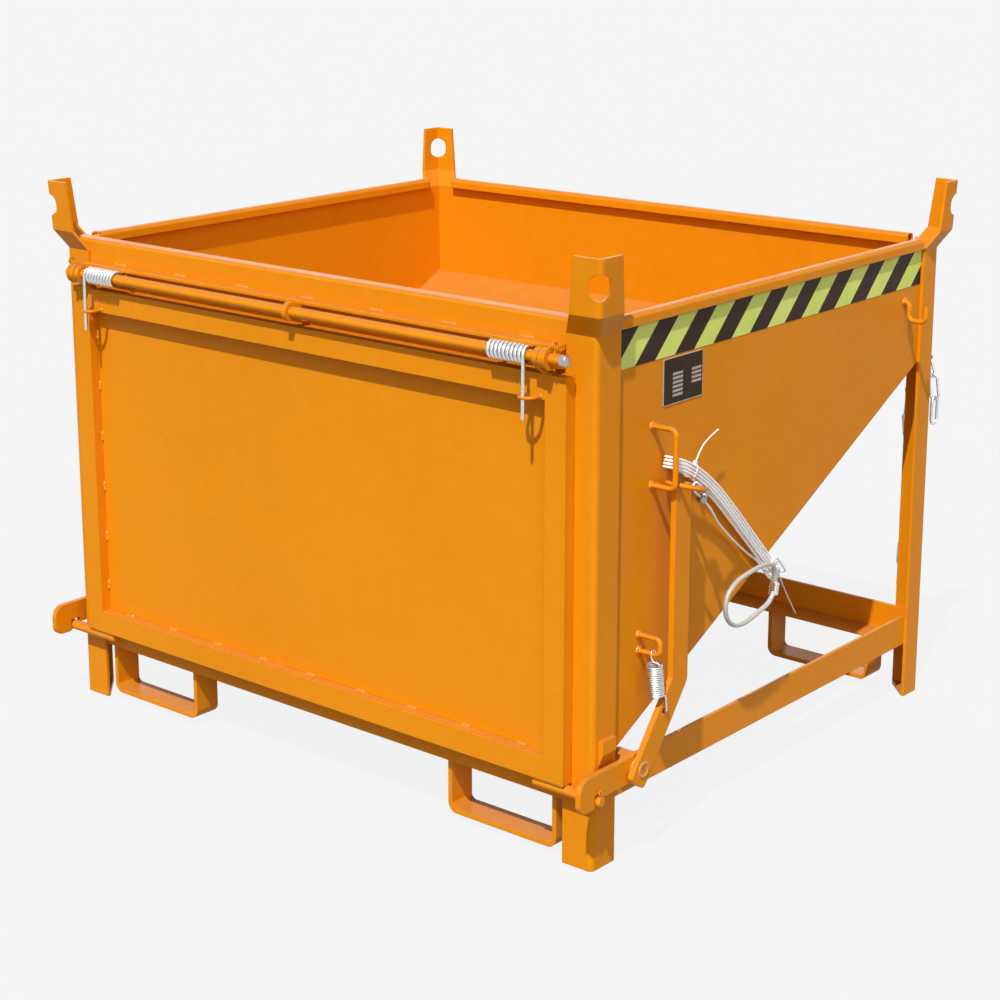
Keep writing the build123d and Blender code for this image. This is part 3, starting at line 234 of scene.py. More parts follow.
# Welds
BEAD = 0.0035
FINE_BEAD = 0.003
BEAD_SIDES = 10
BEAD_INSET = 0.002
RIPPLE_PITCH = 0.0026
RIPPLE_DEPTH = 0.1
RIPPLE_RATE = 2.1
SWELL_RATE = 0.37
SWELL_START = 1.3
STITCH = 0.02
FLAP_STITCHES = {"bottom": 9, "top": 8, "side": 6}
LEDGE_STITCHES = 7
LEDGE_STITCH = 0.03
HINGE_PLATE = 0.01
EAR_WELD = 0.020
PIN_WELD_FROM = 0.498
PIN_WELD_OFF = 0.006
EYE_WIRE = 0.006
EYE_SPAN = 0.0319
EYE_BEAD = 0.002
BRACKET_BEAD = 0.0028
BRACKET_INSET = 0.003
HOOK_ROOT = 0.7625
STRAP_THICK = 0.008
STRAP_INSET = 0.004
RIM_BEAD = 0.0025
RIM_ROUND = 0.006
RIM_END_OFF = 0.0015
RIM_FILL = 0.0028
RIM_FILL_INSET = 0.0005
SHAFT_BEAD = 0.0025
SHAFT_INSET = 0.0005
PLUG = 0.012
PLUG_INSET = 0.0012
PLUG_BEAD_IN = 0.001
CAP_IN = 0.002
CAP_BEAD = 0.0024
CAP_SIDES = 8
CAP_TURNS = 5
CAP_POINTS = 240
RING_WELD_BACK = 0.008

# Paint: two tones of its cloudy coat, flecks, a painted pinkish sky sheen and shade on upper faces, and the
# hinge rod's bare steel end
ORANGE = ((0.73, 0.240, 0.0035), (0.79, 0.268, 0.0045))
FLECK = (0.86, 0.32, 0.02)
FLECK_MOST = 0.22
# Painted sky sheen and shade: the darker, pinker tone that upper faces are mixed towards
TOP_FACE_SHEEN = (0.48, 0.165, 0.022)
STEEL = ((0.40, 0.39, 0.37), (0.56, 0.55, 0.53))
BARE_FROM = 0.561
BARE_RAGGED = 0.0015

# Trim on the right panel: slanting stripes, and a plate with fields in shares of its width and height
STRIPE_PERIOD = 0.103
STRIPE_START = -0.405
STRIPE_GREEN = ((0.66, 0.76, 0.15), (0.76, 0.81, 0.20))
STRIPE_BLACK = ((0.030, 0.012, 0.006), (0.042, 0.018, 0.010))
PLATE_INSIDE = ((0.014, 0.986), (0.018, 0.982))
PLATE_COLUMNS = (((0.232, 0.488), (0.152, 0.7)), ((0.714, 0.958), (0.335, 0.7)))
FIELD_START = 0.152
FIELD_PITCH = 0.0915
FIELD_SHARE = 0.62
PLATE_DARK = ((0.032, 0.013, 0.007), (0.044, 0.019, 0.012))
PLATE_PALE = ((0.42, 0.34, 0.28), (0.54, 0.45, 0.38))
NYLON = ((0.74, 0.74, 0.71), (0.84, 0.84, 0.81))

# Sockets of the mix node when it blends colours
MIX_SHARE, MIX_FIRST, MIX_SECOND, MIX_RESULT = 0, 6, 7, 2


class Look:
    """One procedural material, put together node by node."""

    def __init__(self, name, **numbers):
        self.material = bpy.data.materials.new(name)
        self.material.use_nodes = True
        self.tree = self.material.node_tree
        self.shader = self.tree.nodes["Principled BSDF"]
        for socket, value in numbers.items():
            self.shader.inputs[socket.replace("_", " ")].default_value = value
        self.place = self.node("ShaderNodeTexCoord").outputs["Object"]

    def node(self, kind, **settings):
        made = self.tree.nodes.new(kind)
        for name, value in settings.items():
            setattr(made, name, value)
        return made

    def feed(self, source, socket):
        """Links an output, or sets a plain value, on a socket."""
        if isinstance(source, bpy.types.NodeSocket):
            self.tree.links.new(source, socket)
        else:
            socket.default_value = source

    def shade(self, **sources):
        """Feeds the shader's own sockets."""
        for socket, source in sources.items():
            self.feed(source, self.shader.inputs[socket.replace("_", " ")])

    def noise(self, scale, detail=2.0, place=None):
        made = self.node("ShaderNodeTexNoise")
        made.inputs["Scale"].default_value = scale
        made.inputs["Detail"].default_value = detail
        self.feed(place or self.place, made.inputs["Vector"])
        return made.outputs["Fac"]

    def stretched(self, factors):
        made = self.node("ShaderNodeMapping")
        made.inputs["Scale"].default_value = factors
        self.feed(self.place, made.inputs["Vector"])
        return made.outputs["Vector"]

    def ranged(self, value, low, high, source=(0.3, 0.7)):
        made = self.node("ShaderNodeMapRange")
        self.feed(value, made.inputs["Value"])
        made.inputs["From Min"].default_value = source[0]
        made.inputs["From Max"].default_value = source[1]
        made.inputs["To Min"].default_value = low
        made.inputs["To Max"].default_value = high
        return made.outputs["Result"]

    def maths(self, operation, first, second=0.0):
        made = self.node("ShaderNodeMath", operation=operation)
        self.feed(first, made.inputs[0])
        self.feed(second, made.inputs[1])
        return made.outputs[0]

    def axes(self):
        made = self.node("ShaderNodeSeparateXYZ")
        self.feed(self.place, made.inputs[0])
        return made.outputs

    def mixed(self, share, first, second):
        """Colour between two others, each an output or three plain numbers."""
        made = self.node("ShaderNodeMix", data_type="RGBA")
        self.feed(share, made.inputs[MIX_SHARE])
        for tone, socket in ((first, MIX_FIRST), (second, MIX_SECOND)):
            self.feed(tone if isinstance(tone, bpy.types.NodeSocket) else (*tone, 1), made.inputs[socket])
        return made.outputs[MIX_RESULT]

    def soft_edges(self, radius):
        made = self.node("ShaderNodeBevel", samples=6)
        made.inputs["Radius"].default_value = radius
        return made.outputs["Normal"]

    def bump(self, height, distance, normal=None):
        made = self.node("ShaderNodeBump")
        made.inputs["Distance"].default_value = distance
        self.feed(height, made.inputs["Height"])
        if normal:
            self.feed(normal, made.inputs["Normal"])
        return made.outputs["Normal"]


def paint_look(name, shine=0.09, rough=(0.27, 0.42), bare_from=None):
    """Gloss enamel with cloudy tone, orange peel, waviness, a painted sky sheen and shade on upper faces, and
    bare steel past bare_from.
    """
    look = Look(name, Specular_IOR_Level=shine)
    cloud = look.ranged(look.noise(1.7, 3.0), 0.0, 1.0)
    tone = look.mixed(cloud, *ORANGE)
    fleck = look.ranged(look.noise(42.0, 4.0), 0.0, FLECK_MOST, (0.45, 0.8))
    tone = look.mixed(fleck, tone, FLECK)
    facing = look.node("ShaderNodeSeparateXYZ")
    look.feed(look.node("ShaderNodeNewGeometry").outputs["Normal"], facing.inputs[0])
    upward = look.ranged(facing.outputs[2], 0.0, 1.0, (0.3, 0.75))
    # Painted sky sheen and shade: faces turn darker and pinker the more they face up
    top_face_sheen = look.maths("MULTIPLY", upward, look.ranged(fleck, 1.0, 0.8, (0.0, FLECK_MOST)))
    tone = look.mixed(top_face_sheen, tone, TOP_FACE_SHEEN)
    gloss = look.ranged(look.noise(9.0, 3.0), *rough)
    edges = look.soft_edges(0.0016)
    waves = look.bump(look.noise(5.0, 1.0), 0.0016, edges)
    peel = look.bump(look.noise(420.0, 2.0), 0.00005, waves)
    if bare_from is not None:
        ragged = look.maths("ADD", look.axes()[0], look.ranged(look.noise(160.0), -BARE_RAGGED, BARE_RAGGED))
        bare = look.maths("GREATER_THAN", ragged, bare_from)
        steel = look.mixed(look.ranged(look.noise(300.0), 0.0, 1.0), *STEEL)
        tone = look.mixed(bare, tone, steel)
        look.shade(Metallic=bare)
    look.shade(Base_Color=tone, Roughness=gloss, Normal=peel)
    return look.material


def zinc_look(name, dark, pale):
    """Zinc plate with a fine spangle and drawing marks."""
    look = Look(name, Metallic=1.0)
    spangle = look.noise(260.0, 3.0)
    marks = look.noise(90.0, 2.0, look.stretched((1.0, 9.0, 9.0)))
    tone = look.mixed(look.ranged(spangle, 0.0, 1.0), dark, pale)
    tone = look.mixed(look.ranged(marks, 0.0, 0.3), tone, dark)
    look.shade(
        Base_Color=tone,
        Roughness=look.ranged(spangle, 0.22, 0.4),
        Normal=look.bump(spangle, 0.00004, look.soft_edges(0.0005)),
    )
    return look.material


def rope_look(name, dark, pale, blur, coat):
    """Wire strands under a clear coat, along the tube's own length and turn, with painted shade in the
    grooves between strands.
    """
    look = Look(name, Coat_Weight=coat, Coat_Roughness=0.08, Specular_IOR_Level=0.5)
    along = look.node("ShaderNodeUVMap", uv_map="tube").outputs["UV"]
    parts = look.node("ShaderNodeSeparateXYZ")
    look.feed(along, parts.inputs[0])
    strand = look.maths("FRACT", look.maths("MULTIPLY", parts.outputs[1], float(ROPE_STRANDS)))
    # Painted shade: each strand darker towards the grooves on either side of it
    hump = look.maths("PINGPONG", strand, 0.5)
    length, turn = (look.maths("MULTIPLY", parts.outputs[k], rate) for k, rate in ((0, 2600.0), (1, 120.0)))
    wires = look.maths("SINE", look.maths("ADD", length, turn))
    shade = look.maths("ADD", look.maths("MULTIPLY", hump, 2.0), look.maths("MULTIPLY", wires, 0.06))
    tone = look.mixed(look.ranged(shade, blur, 1.0, (0.0, 0.7)), dark, pale)
    grime = look.ranged(look.noise(25.0, 4.0), 0.0, 0.3, (0.5, 0.8))
    tone = look.mixed(grime, tone, dark)
    look.shade(Base_Color=tone, Roughness=look.ranged(look.noise(60.0), 0.24, 0.4))
    return look.material


def plastic_look():
    """White moulded nylon with a faint grain."""
    look = Look("white_plastic", Subsurface_Weight=0.15, Subsurface_Scale=0.002)
    grain = look.noise(900.0, 2.0)
    tone = look.mixed(look.ranged(look.noise(40.0), 0.0, 1.0), *NYLON)
    look.shade(
        Base_Color=tone,
        Roughness=look.ranged(grain, 0.36, 0.5),
        Normal=look.bump(grain, 0.00003, look.soft_edges(0.0004)),
    )
    return look.material


def hazard_look():
    """Slanting yellow-green and black stripes on glossy film."""
    look = Look("hazard_film", Specular_IOR_Level=0.1)
    _, rear, height = look.axes()
    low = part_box("hazard_tape")[0].z
    lean = look.maths("SUBTRACT", rear, look.maths("SUBTRACT", height, low))
    turns = look.maths("DIVIDE", look.maths("SUBTRACT", lean, STRIPE_START), STRIPE_PERIOD)
    black = look.maths("LESS_THAN", look.maths("FRACT", turns), 0.5)
    cloud = look.ranged(look.noise(14.0, 3.0), 0.0, 1.0)
    green = look.mixed(cloud, *STRIPE_GREEN)
    dark = look.mixed(cloud, *STRIPE_BLACK)
    grain = look.noise(1500.0, 2.0)
    look.shade(
        Base_Color=look.mixed(black, green, dark),
        Roughness=look.ranged(look.noise(55.0, 3.0), 0.3, 0.45),
        Normal=look.bump(grain, 0.00002, look.bump(look.noise(18.0), 0.0003)),
    )
    return look.material


def plate_look():
    """Dark label with a pale rim and two columns of blank pale fields."""
    look = Look("plate_film", Specular_IOR_Level=0.1)
    low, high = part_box("type_plate")
    _, rear, height = look.axes()
    across = look.ranged(rear, 0.0, 1.0, (low.y, high.y))
    upward = look.ranged(height, 0.0, 1.0, (low.z, high.z))

    def between(value, first, last):
        above = look.maths("GREATER_THAN", value, first)
        return look.maths("MULTIPLY", above, look.maths("LESS_THAN", value, last))

    def within(wide, tall):
        return look.maths("MULTIPLY", between(across, *wide), between(upward, *tall))

    rows = look.maths("FRACT", look.maths("DIVIDE", look.maths("SUBTRACT", upward, FIELD_START), FIELD_PITCH))
    bar = look.maths("LESS_THAN", rows, FIELD_SHARE)
    columns = [within(*column) for column in PLATE_COLUMNS]
    fields = look.maths("MULTIPLY", bar, look.maths("ADD", *columns))
    inside = within(*PLATE_INSIDE)
    cloud = look.ranged(look.noise(60.0, 3.0), 0.0, 1.0)
    dark = look.mixed(cloud, *PLATE_DARK)
    pale = look.mixed(cloud, *PLATE_PALE)
    shown = look.mixed(inside, pale, look.mixed(fields, dark, pale))
    look.shade(
        Base_Color=shown,
        Roughness=look.ranged(look.noise(80.0, 3.0), 0.34, 0.5),
        Normal=look.bump(look.noise(1200.0), 0.00002),
    )
    return look.material


PAINT = paint_look("orange_paint")
ROD_PAINT = paint_look("orange_paint_bare_end", bare_from=BARE_FROM)
WELD_PAINT = paint_look("orange_paint_weld", shine=0.5, rough=(0.12, 0.28))
ZINC = zinc_look("zinc", (0.62, 0.63, 0.64), (0.84, 0.85, 0.86))
DULL_ZINC = zinc_look("dull_zinc", (0.27, 0.26, 0.24), (0.46, 0.45, 0.43))
ROPE_COAT = rope_look("rope_coat", (0.88, 0.87, 0.85), (0.97, 0.97, 0.96), 0.5, 0.5)
SLEEVE = rope_look("clear_sleeve", (0.24, 0.22, 0.19), (0.50, 0.48, 0.43), 0.3, 0.8)
PLASTIC = plastic_look()
LOOKS = {
    "orange_paint": PAINT,
    "zinc": ZINC,
    "rope_coat": ROPE_COAT,
    "clear_sleeve": SLEEVE,
    "white_plastic": PLASTIC,
    "hazard_film": hazard_look(),
    "plate_film": plate_look(),
}
NODE_LOOKS = {"hinge_rod": ROD_PAINT}


def dress_nodes():
    """Gives each CAD node the look of its material slot, or its own."""
    for part in frame["record"]["subparts"]:
        piece = frame["nodes"][part["node"]]
        look = NODE_LOOKS.get(part["node"], LOOKS[part["material_slot"]])
        if not piece.material_slots:
            piece.data.materials.append(look)
        for held in piece.material_slots:
            held.material = look


def unit(vectors):
    return vectors / np.linalg.norm(vectors, axis=-1, keepdims=True)


class Shape:
    """Points and faces of a piece that is being put together, with tube coordinates on its faces."""

    def __init__(self):
        self.points = []
        self.faces = []
        self.coordinates = []

    def grid(self, rings, closed=False, lengths=None):
        """Skin over rings of points, an array of rings by points by three."""
        count, sides = rings.shape[:2]
        first = len(self.points)
        lengths = np.arange(count) if lengths is None else lengths
        self.points += [tuple(point) for point in rings.reshape(-1, 3)]
        for i in range(count if closed else count - 1):
            k = (i + 1) % count
            for j in range(sides):
                m = (j + 1) % sides
                corners = ((i, j), (i, m), (k, m), (k, j))
                self.faces.append(tuple(first + ring * sides + place for ring, place in corners))
                here, there = lengths[i], lengths[k]
                low, high = j / sides, (j + 1) / sides
                self.coordinates.append(((here, low), (here, high), (there, high), (there, low)))
        if not closed:
            for ring, order in ((0, -1), (count - 1, 1)):
                corners = [first + ring * sides + j for j in range(sides)][::order]
                self.faces.append(tuple(corners))
                self.coordinates.append(tuple((lengths[ring], 0.5) for _ in corners))

    def tube(self, line, radius, sides=16, strands=0, relief=0.0, lay=1.0, closed=False, wobble=None):
        """Round tube along a line, its ends rounded, or twisted strands of a rope."""
        line = np.asarray([tuple(point) for point in line], float)
        if not closed:
            line, scale = rounded_ends(line, radius)
        else:
            scale = np.ones(len(line))
        if wobble is not None:
            scale = scale * wobble(len(line))
        steps = np.linalg.norm(np.diff(line, axis=0), axis=1)
        lengths = np.concatenate([[0.0], np.cumsum(steps)])
        side, other = across_line(line, closed)
        turn = np.arange(sides) * 2 * np.pi / sides
        swept = turn[None, :] + (2 * np.pi * lengths / lay)[:, None] * (strands > 0)
        away = radius - relief * (1 - np.abs(np.cos(strands / 2 * turn)))
        away = away[None, :, None] * scale[:, None, None]
        ring = side[:, None, :] * np.cos(swept)[..., None] + other[:, None, :] * np.sin(swept)[..., None]
        self.grid(line[:, None, :] + ring * away, closed, lengths)

    def prism(self, outline, origin, first, second, depth):
        """Flat outline in two directions from origin, thickened by the vector depth."""
        low = [origin + first * a + second * b for a, b in outline]
        rings = np.array([[tuple(point) for point in low], [tuple(point + depth) for point in low]])
        if first.cross(second).dot(depth) < 0:
            rings = rings[:, ::-1]
        self.grid(rings)

    def piece(self, name, look, slot, body=None, bevel=0.0, smooth=True):
        """The finished object, on its body."""
        mesh = bpy.data.meshes.new(name)
        mesh.from_pydata(self.points, [], self.faces)
        layer = mesh.uv_layers.new(name="tube")
        layer.data.foreach_set("uv", [n for face in self.coordinates for pair in face for n in pair])
        for polygon in mesh.polygons:
            polygon.use_smooth = smooth
        mesh.materials.append(look)
        made = bpy.data.objects.new(name, mesh)
        bpy.context.scene.collection.objects.link(made)
        if bevel:
            rounding = made.modifiers.new("rounding", "BEVEL")
            rounding.width = bevel
            rounding.segments = 2
            rounding.limit_method = "ANGLE"
        if body:
            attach(made, body)
        return made


def squared_round(turn, power):
    """Cosine and sine of a turn, drawn out towards the corners of a square."""
    return [np.sign(share) * np.abs(share) ** power for share in (np.cos(turn), np.sin(turn))]


def along_line(line, closed=False):
    """Direction of a line at each of its points."""
    if closed:
        return unit(np.roll(line, -1, axis=0) - np.roll(line, 1, axis=0))
    return unit(np.gradient(line, axis=0))


def rounded_ends(line, radius):
    """The line with closely set points at its ends, and the share of the radius that each point gets."""
    steps = np.linalg.norm(np.diff(line, axis=0), axis=1)
    along = np.concatenate([[0.0], np.cumsum(steps)])
    ends = np.array(END_RINGS) * radius
    inner = along[(along > ends[-1]) & (along < along[-1] - ends[-1])]
    at = np.concatenate([ends, inner, along[-1] - ends[::-1]])
    near = np.clip(np.minimum(at, along[-1] - at) / radius, 0, 1)
    points = np.stack([np.interp(at, along, line[:, k]) for k in range(3)], axis=1)
    return points, np.sqrt(1 - (1 - near) ** 2)


def across_line(line, closed=False):
    """Two directions across a line at each of its points, turning as little as they can."""
    along = along_line(line, closed)
    sides = [unit(np.cross(along[0], SLANT_WAY))]
    for way in along[1:]:
        sides.append(unit(sides[-1] - way * np.dot(sides[-1], way)))
    side = np.array(sides)
    return side, np.cross(along, side)


def smooth_line(name, route):
    """Points along the NURBS spline whose control points are the route's points."""
    data = bpy.data.curves.new(name, "CURVE")
    data.dimensions = "3D"
    spline = data.splines.new("NURBS")
    spline.points.add(len(route) - 1)
    for point, place in zip(spline.points, route):
        point.co = (*place, 1.0)
    spline.order_u = 3
    spline.use_endpoint_u = True
    data.resolution_u = SPLINE_STEPS
    spline.resolution_u = SPLINE_STEPS
    carrier = bpy.data.objects.new(name, data)
    mesh = bpy.data.meshes.new_from_object(carrier)
    line = [vertex.co.copy() for vertex in mesh.vertices]
    bpy.data.meshes.remove(mesh)
    bpy.data.objects.remove(carrier)
    bpy.data.curves.remove(data)
    return line


def add_camera():
    """The scene's camera, from its place, yaw and pitch."""
    data = bpy.data.cameras.new("camera")
    data.lens = CAMERA_LENS
    data.shift_x, data.shift_y = CAMERA_SHIFT
    camera = bpy.data.objects.new("camera", data)
    level = math.cos(CAMERA_PITCH)
    ahead = Vector((math.sin(CAMERA_YAW) * level, math.cos(CAMERA_YAW) * level, -math.sin(CAMERA_PITCH)))
    camera.rotation_euler = ahead.to_track_quat("-Z", "Y").to_euler()
    camera.location = CAMERA_PLACE
    bpy.context.scene.collection.objects.link(camera)
    bpy.context.scene.camera = camera


def add_sun(name, way, strength, angle):
    """Sun lamp whose light goes a given way."""
    data = bpy.data.lights.new(name, "SUN")
    data.energy = strength
    data.angle = angle
    sun = bpy.data.objects.new(name, data)
    sun.rotation_euler = Vector(way).to_track_quat("-Z", "Y").to_euler()
    bpy.context.scene.collection.objects.link(sun)


def seen_directly(tree):
    """1 for camera, glossy and transmission rays, which see the plain backdrop."""
    paths = tree.nodes.new("ShaderNodeLightPath").outputs
    total = paths["Is Camera Ray"]
    for name in ("Is Glossy Ray", "Is Transmission Ray"):
        either = tree.nodes.new("ShaderNodeMath")
        either.operation = "MAXIMUM"
        tree.links.new(total, either.inputs[0])
        tree.links.new(paths[name], either.inputs[1])
        total = either.outputs[0]
    return total


def add_world():
    """Even sky for the light, and a plain pale backdrop where it is seen."""
    world = bpy.data.worlds.new("sky")
    world.use_nodes = True
    bpy.context.scene.world = world
    tree = world.node_tree
    level = tree.nodes.new("ShaderNodeMapRange")
    level.inputs["To Min"].default_value = SKY
    level.inputs["To Max"].default_value = BACKGROUND
    tree.links.new(seen_directly(tree), level.inputs["Value"])
    tree.links.new(level.outputs["Result"], tree.nodes["Background"].inputs["Strength"])
    tree.nodes["Background"].inputs["Color"].default_value = (1.0, 1.0, 1.0, 1.0)


def add_floor():
    """Plain pale floor that shows the object's shadow faintly."""
    mesh = bpy.data.meshes.new("floor")
    corners = [(x * FLOOR_HALF, y * FLOOR_HALF, 0.0) for x, y in ((-1, -1), (1, -1), (1, 1), (-1, 1))]
    mesh.from_pydata(corners, [], [(0, 1, 2, 3)])
    floor = bpy.data.objects.new("floor", mesh)
    bpy.context.scene.collection.objects.link(floor)
    look = Look("floor", Roughness=0.9, Specular_IOR_Level=0.0)
    shade = look.ranged(look.noise(3.0, 3.0), FLOOR_ALBEDO - FLOOR_MOTTLE, FLOOR_ALBEDO + FLOOR_MOTTLE)
    grey = look.node("ShaderNodeCombineColor")
    for socket in grey.inputs[:3]:
        look.feed(shade, socket)
    look.shade(Base_Color=grey.outputs[0])
    glow = look.node("ShaderNodeEmission")
    glow.inputs["Strength"].default_value = FLOOR_GLOW
    share = look.maths("MULTIPLY", seen_directly(look.tree), 1.0 - FLOOR_SHADOW)
    blend = look.node("ShaderNodeMixShader")
    look.feed(share, blend.inputs[0])
    look.feed(look.shader.outputs[0], blend.inputs[1])
    look.feed(glow.outputs[0], blend.inputs[2])
    look.feed(blend.outputs[0], look.tree.nodes["Material Output"].inputs["Surface"])
    mesh.materials.append(look.material)


# Release rope
def downhill(slope):
    """Direction to the rear that drops below the level by an angle."""
    return Vector((0, math.cos(slope), -math.sin(slope)))


EYE_ALONG = downhill(EYE_LEAN)
EYE_ACROSS = X_WAY.cross(EYE_ALONG)


def rear_of_front(x, back, height):
    return Vector((x, FRONT + back, height))


def round_bight(centre, tip, side, radius):
    """Control points round half a circle that leaves from one side of its centre and passes its tip."""
    points = []
    for angle in BIGHT_ANGLES:
        turn = math.radians(angle)
        points.append(centre + (tip * math.cos(turn) - side * math.sin(turn)) * radius * BIGHT_REACH)
    return points


def in_hank(place, slope, layer, x):
    """Point of the hank in one of its layers, counted from below."""
    upward = X_WAY.cross(downhill(slope)) * HANK_STEP * (layer - (HANK_LOOPS - 1) / 2)
    return rear_of_front(x, *place) + upward


def low_bight(layer, outer):
    """Control points round a lower bight, from the strand by the panel outwards."""
    radius = (outer - HANK_INNER) / 2
    centre = in_hank(*HANK_BOTTOM, layer, HANK_INNER + radius)
    return round_bight(centre, downhill(HANK_BOTTOM[1]), -X_WAY, radius)


def hank_route():
    """Control points of the hank's loops, which lie on each other along the panel, and of the rope's end."""
    route = []
    middle = (HANK_INNER + HANK_OUTER) / 2
    top_way = -downhill(HANK_TOP[1])
    for layer in range(HANK_LOOPS):
        route += low_bight(layer, HANK_OUTER)
        route += [in_hank(*spot, layer, HANK_OUTER) for spot in HANK_RUN]
        route += round_bight(in_hank(*HANK_TOP, layer, middle), top_way, X_WAY, HANK_OUTER - middle)
        for k, spot in enumerate(reversed(HANK_RUN)):
            climb = min(1.0, max(0.0, (k - 1) / (len(HANK_RUN) - 2)))
            route.append(in_hank(*spot, layer + climb, HANK_INNER))
    way = downhill(HANK_BOTTOM[1])
    across = X_WAY.cross(way)
    route += low_bight(HANK_LOOPS, HANK_END_X)
    lead = rear_of_front(HANK_END_X, *HANK_BOTTOM[0]) - way * HANK_END_LEAD
    above = HANK_STEP * (HANK_LOOPS + 1) / 2
    radius = (above + HANK_END_OFF) / 2
    route.append(lead + way * HANK_END_LEAD / 2 + across * above)
    route += round_bight(lead + across * (above - radius), -way, across, radius)
    return route + [rear_of_front(HANK_END_X, *place) for place in HANK_END_ROUTE]


def add_rope():
    """Release rope: an eye round the lever's ring, the hank, and the end in its crimp."""
    route = [RING_WIRE + EYE_ACROSS * side + EYE_ALONG * along for side, along in EYE_ROUTE]
    route += [rear_of_front(*place) for place in TAIL_ROUTE]
    route += hank_route()
    line = smooth_line("rope_line", route)
    shape = Shape()
    shape.tube(line, ROPE / 2, ROPE_SIDES, ROPE_STRANDS, ROPE_RELIEF, ROPE_LAY)
    rope = shape.piece("release_rope", ROPE_COAT, "rope_coat", "latch")
    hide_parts("rope_tail", "rope_hank")
    crimp = add_crimp()
    route = [rear_of_front(GRAB_X, *place) for place in GRAB_ROUTE]
    line = smooth_line("grab_line", route)
    shape = Shape()
    shape.tube(line, GRAB_TUBE / 2, ROPE_SIDES, ROPE_STRANDS, 0.0, ROPE_LAY)
    loop = shape.piece("grab_loop", SLEEVE, "clear_sleeve", "latch")
    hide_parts("rope_grab_loop")


def add_crimp():
    """Pressed ferrule with two waists, over the rope's end and both ends of the grab loop."""
    low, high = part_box("rope_crimp")
    middle = np.array(tuple((low + high) / 2))
    upward = np.array((0.0, math.sin(CRIMP_LEAN), math.cos(CRIMP_LEAN)))
    rearward = np.array((0.0, math.cos(CRIMP_LEAN), -math.sin(CRIMP_LEAN)))
    wide, deep, tall = CRIMP_HALF
    shape = Shape()
    rings = []
    first, second = squared_round(np.arange(CRIMP_SIDES) * 2 * np.pi / CRIMP_SIDES, CRIMP_SQUARENESS)
    for share in np.linspace(-1, 1, CRIMP_RINGS):
        press = 1 - CRIMP_PRESS * np.cos(share * CRIMP_WAVES * np.pi) ** 2 * (abs(share) < CRIMP_EDGE)
        edge = np.sqrt(1 - max(0.0, (abs(share) - CRIMP_EDGE) / (1 - CRIMP_EDGE)) ** 2 / 2)
        ring = middle + upward * tall * share + np.outer(first, (wide * press * edge, 0, 0))
        rings.append(ring + np.outer(second, rearward * deep * edge))
    shape.grid(np.array(rings))
    crimp = shape.piece("crimp_ferrule", ZINC, "zinc", "latch")
    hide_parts("rope_crimp")
    return crimp


def add_rope_clip():
    """Two pressed plates over both parts of the rope's eye, drawn together by a bolt between them."""
    centre = RING_WIRE + EYE_ALONG * CLIP_ALONG
    end = centre - EYE_ALONG * CLIP_HALF_LONG
    plate = Shape()
    outline = [(-CLIP_HALF_HIGH, CLIP_HALF_GAP), (CLIP_HALF_HIGH, CLIP_HALF_GAP)]
    for turn in np.linspace(0, math.pi, 25):
        off = CLIP_HALF_HIGH * math.cos(turn)
        bulge = CLIP_BULGE * math.exp(-(((abs(off) - CLIP_BULGE_OFF) / CLIP_BULGE_WIDE) ** 2))
        outline.append((off, CLIP_HALF_GAP + CLIP_THICK + bulge))
    corners = [k * math.pi / 3 for k in range(6)]
    hexagon = [(NUT_RADIUS * math.cos(turn), NUT_RADIUS * math.sin(turn)) for turn in corners]
    for out in (-X_WAY, X_WAY):
        plate.prism(outline, end, EYE_ACROSS, out, EYE_ALONG * 2 * CLIP_HALF_LONG)
        plate.prism(hexagon, centre + out * NUT_FROM, EYE_ACROSS, EYE_ALONG, out * NUT_HIGH)
    clip = plate.piece("rope_clamp", DULL_ZINC, "zinc", "latch", bevel=CLIP_BEVEL, smooth=False)
    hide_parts("rope_clip")


def strap(shape, line, flat, width, thick, closed=False):
    """Flat strap along a line, its width along flat."""
    line = np.array([tuple(point) for point in line])
    along = along_line(line, closed)
    wide = np.broadcast_to(np.array(tuple(flat)), line.shape)
    deep = unit(np.cross(along, wide))
    a, b = width / 2, thick / 2
    c, d = a - TIE_CORNER * b, b - TIE_CORNER * b
    outline = ((a, -d), (c, -b), (-c, -b), (-a, -d), (-a, d), (-c, b), (c, b), (a, d))
    rings = np.stack([line + wide * p + deep * q for p, q in outline], axis=1)
    if np.dot(np.cross(wide[0], deep[0]), along[0]) < 0:
        rings = rings[:, ::-1]
    shape.grid(rings, closed)


def add_ties():
    """Cable ties round the hank, each with a head and a long curving tail."""
    shape = Shape()
    for place, slope, (half_wide, half_high), (head_x, head_off), tail in TIES:
        middle = rear_of_front(TIE_X, *place)
        heading = downhill(slope)
        out = X_WAY.cross(heading)
        band = []
        for step in range(TIE_POINTS):
            wide, high = squared_round(2 * math.pi * step / TIE_POINTS, TIE_SQUARENESS)
            band.append(middle + X_WAY * (wide * half_wide) + out * (high * half_high))
        strap(shape, band, heading, TIE_WIDTH, TIE_THICK, closed=True)
        head = middle + X_WAY * head_x + out * head_off
        half = TIE_HEAD / 2
        block = [(-half, -half), (half, -half), (half * TIE_TAPER, half), (-half * TIE_TAPER, half)]
        shape.prism(block, head - heading * half, X_WAY, out, heading * TIE_HEAD)
        route = [head] + [head + Y_WAY * back + UP * rise for back, rise in tail]
        strap(shape, smooth_line("tie_line", route), X_WAY, TIE_WIDTH * TIE_TAPER, TIE_THICK)
    ties = shape.piece("hank_ties", PLASTIC, "white_plastic", "latch", smooth=False)
    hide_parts("cable_ties")


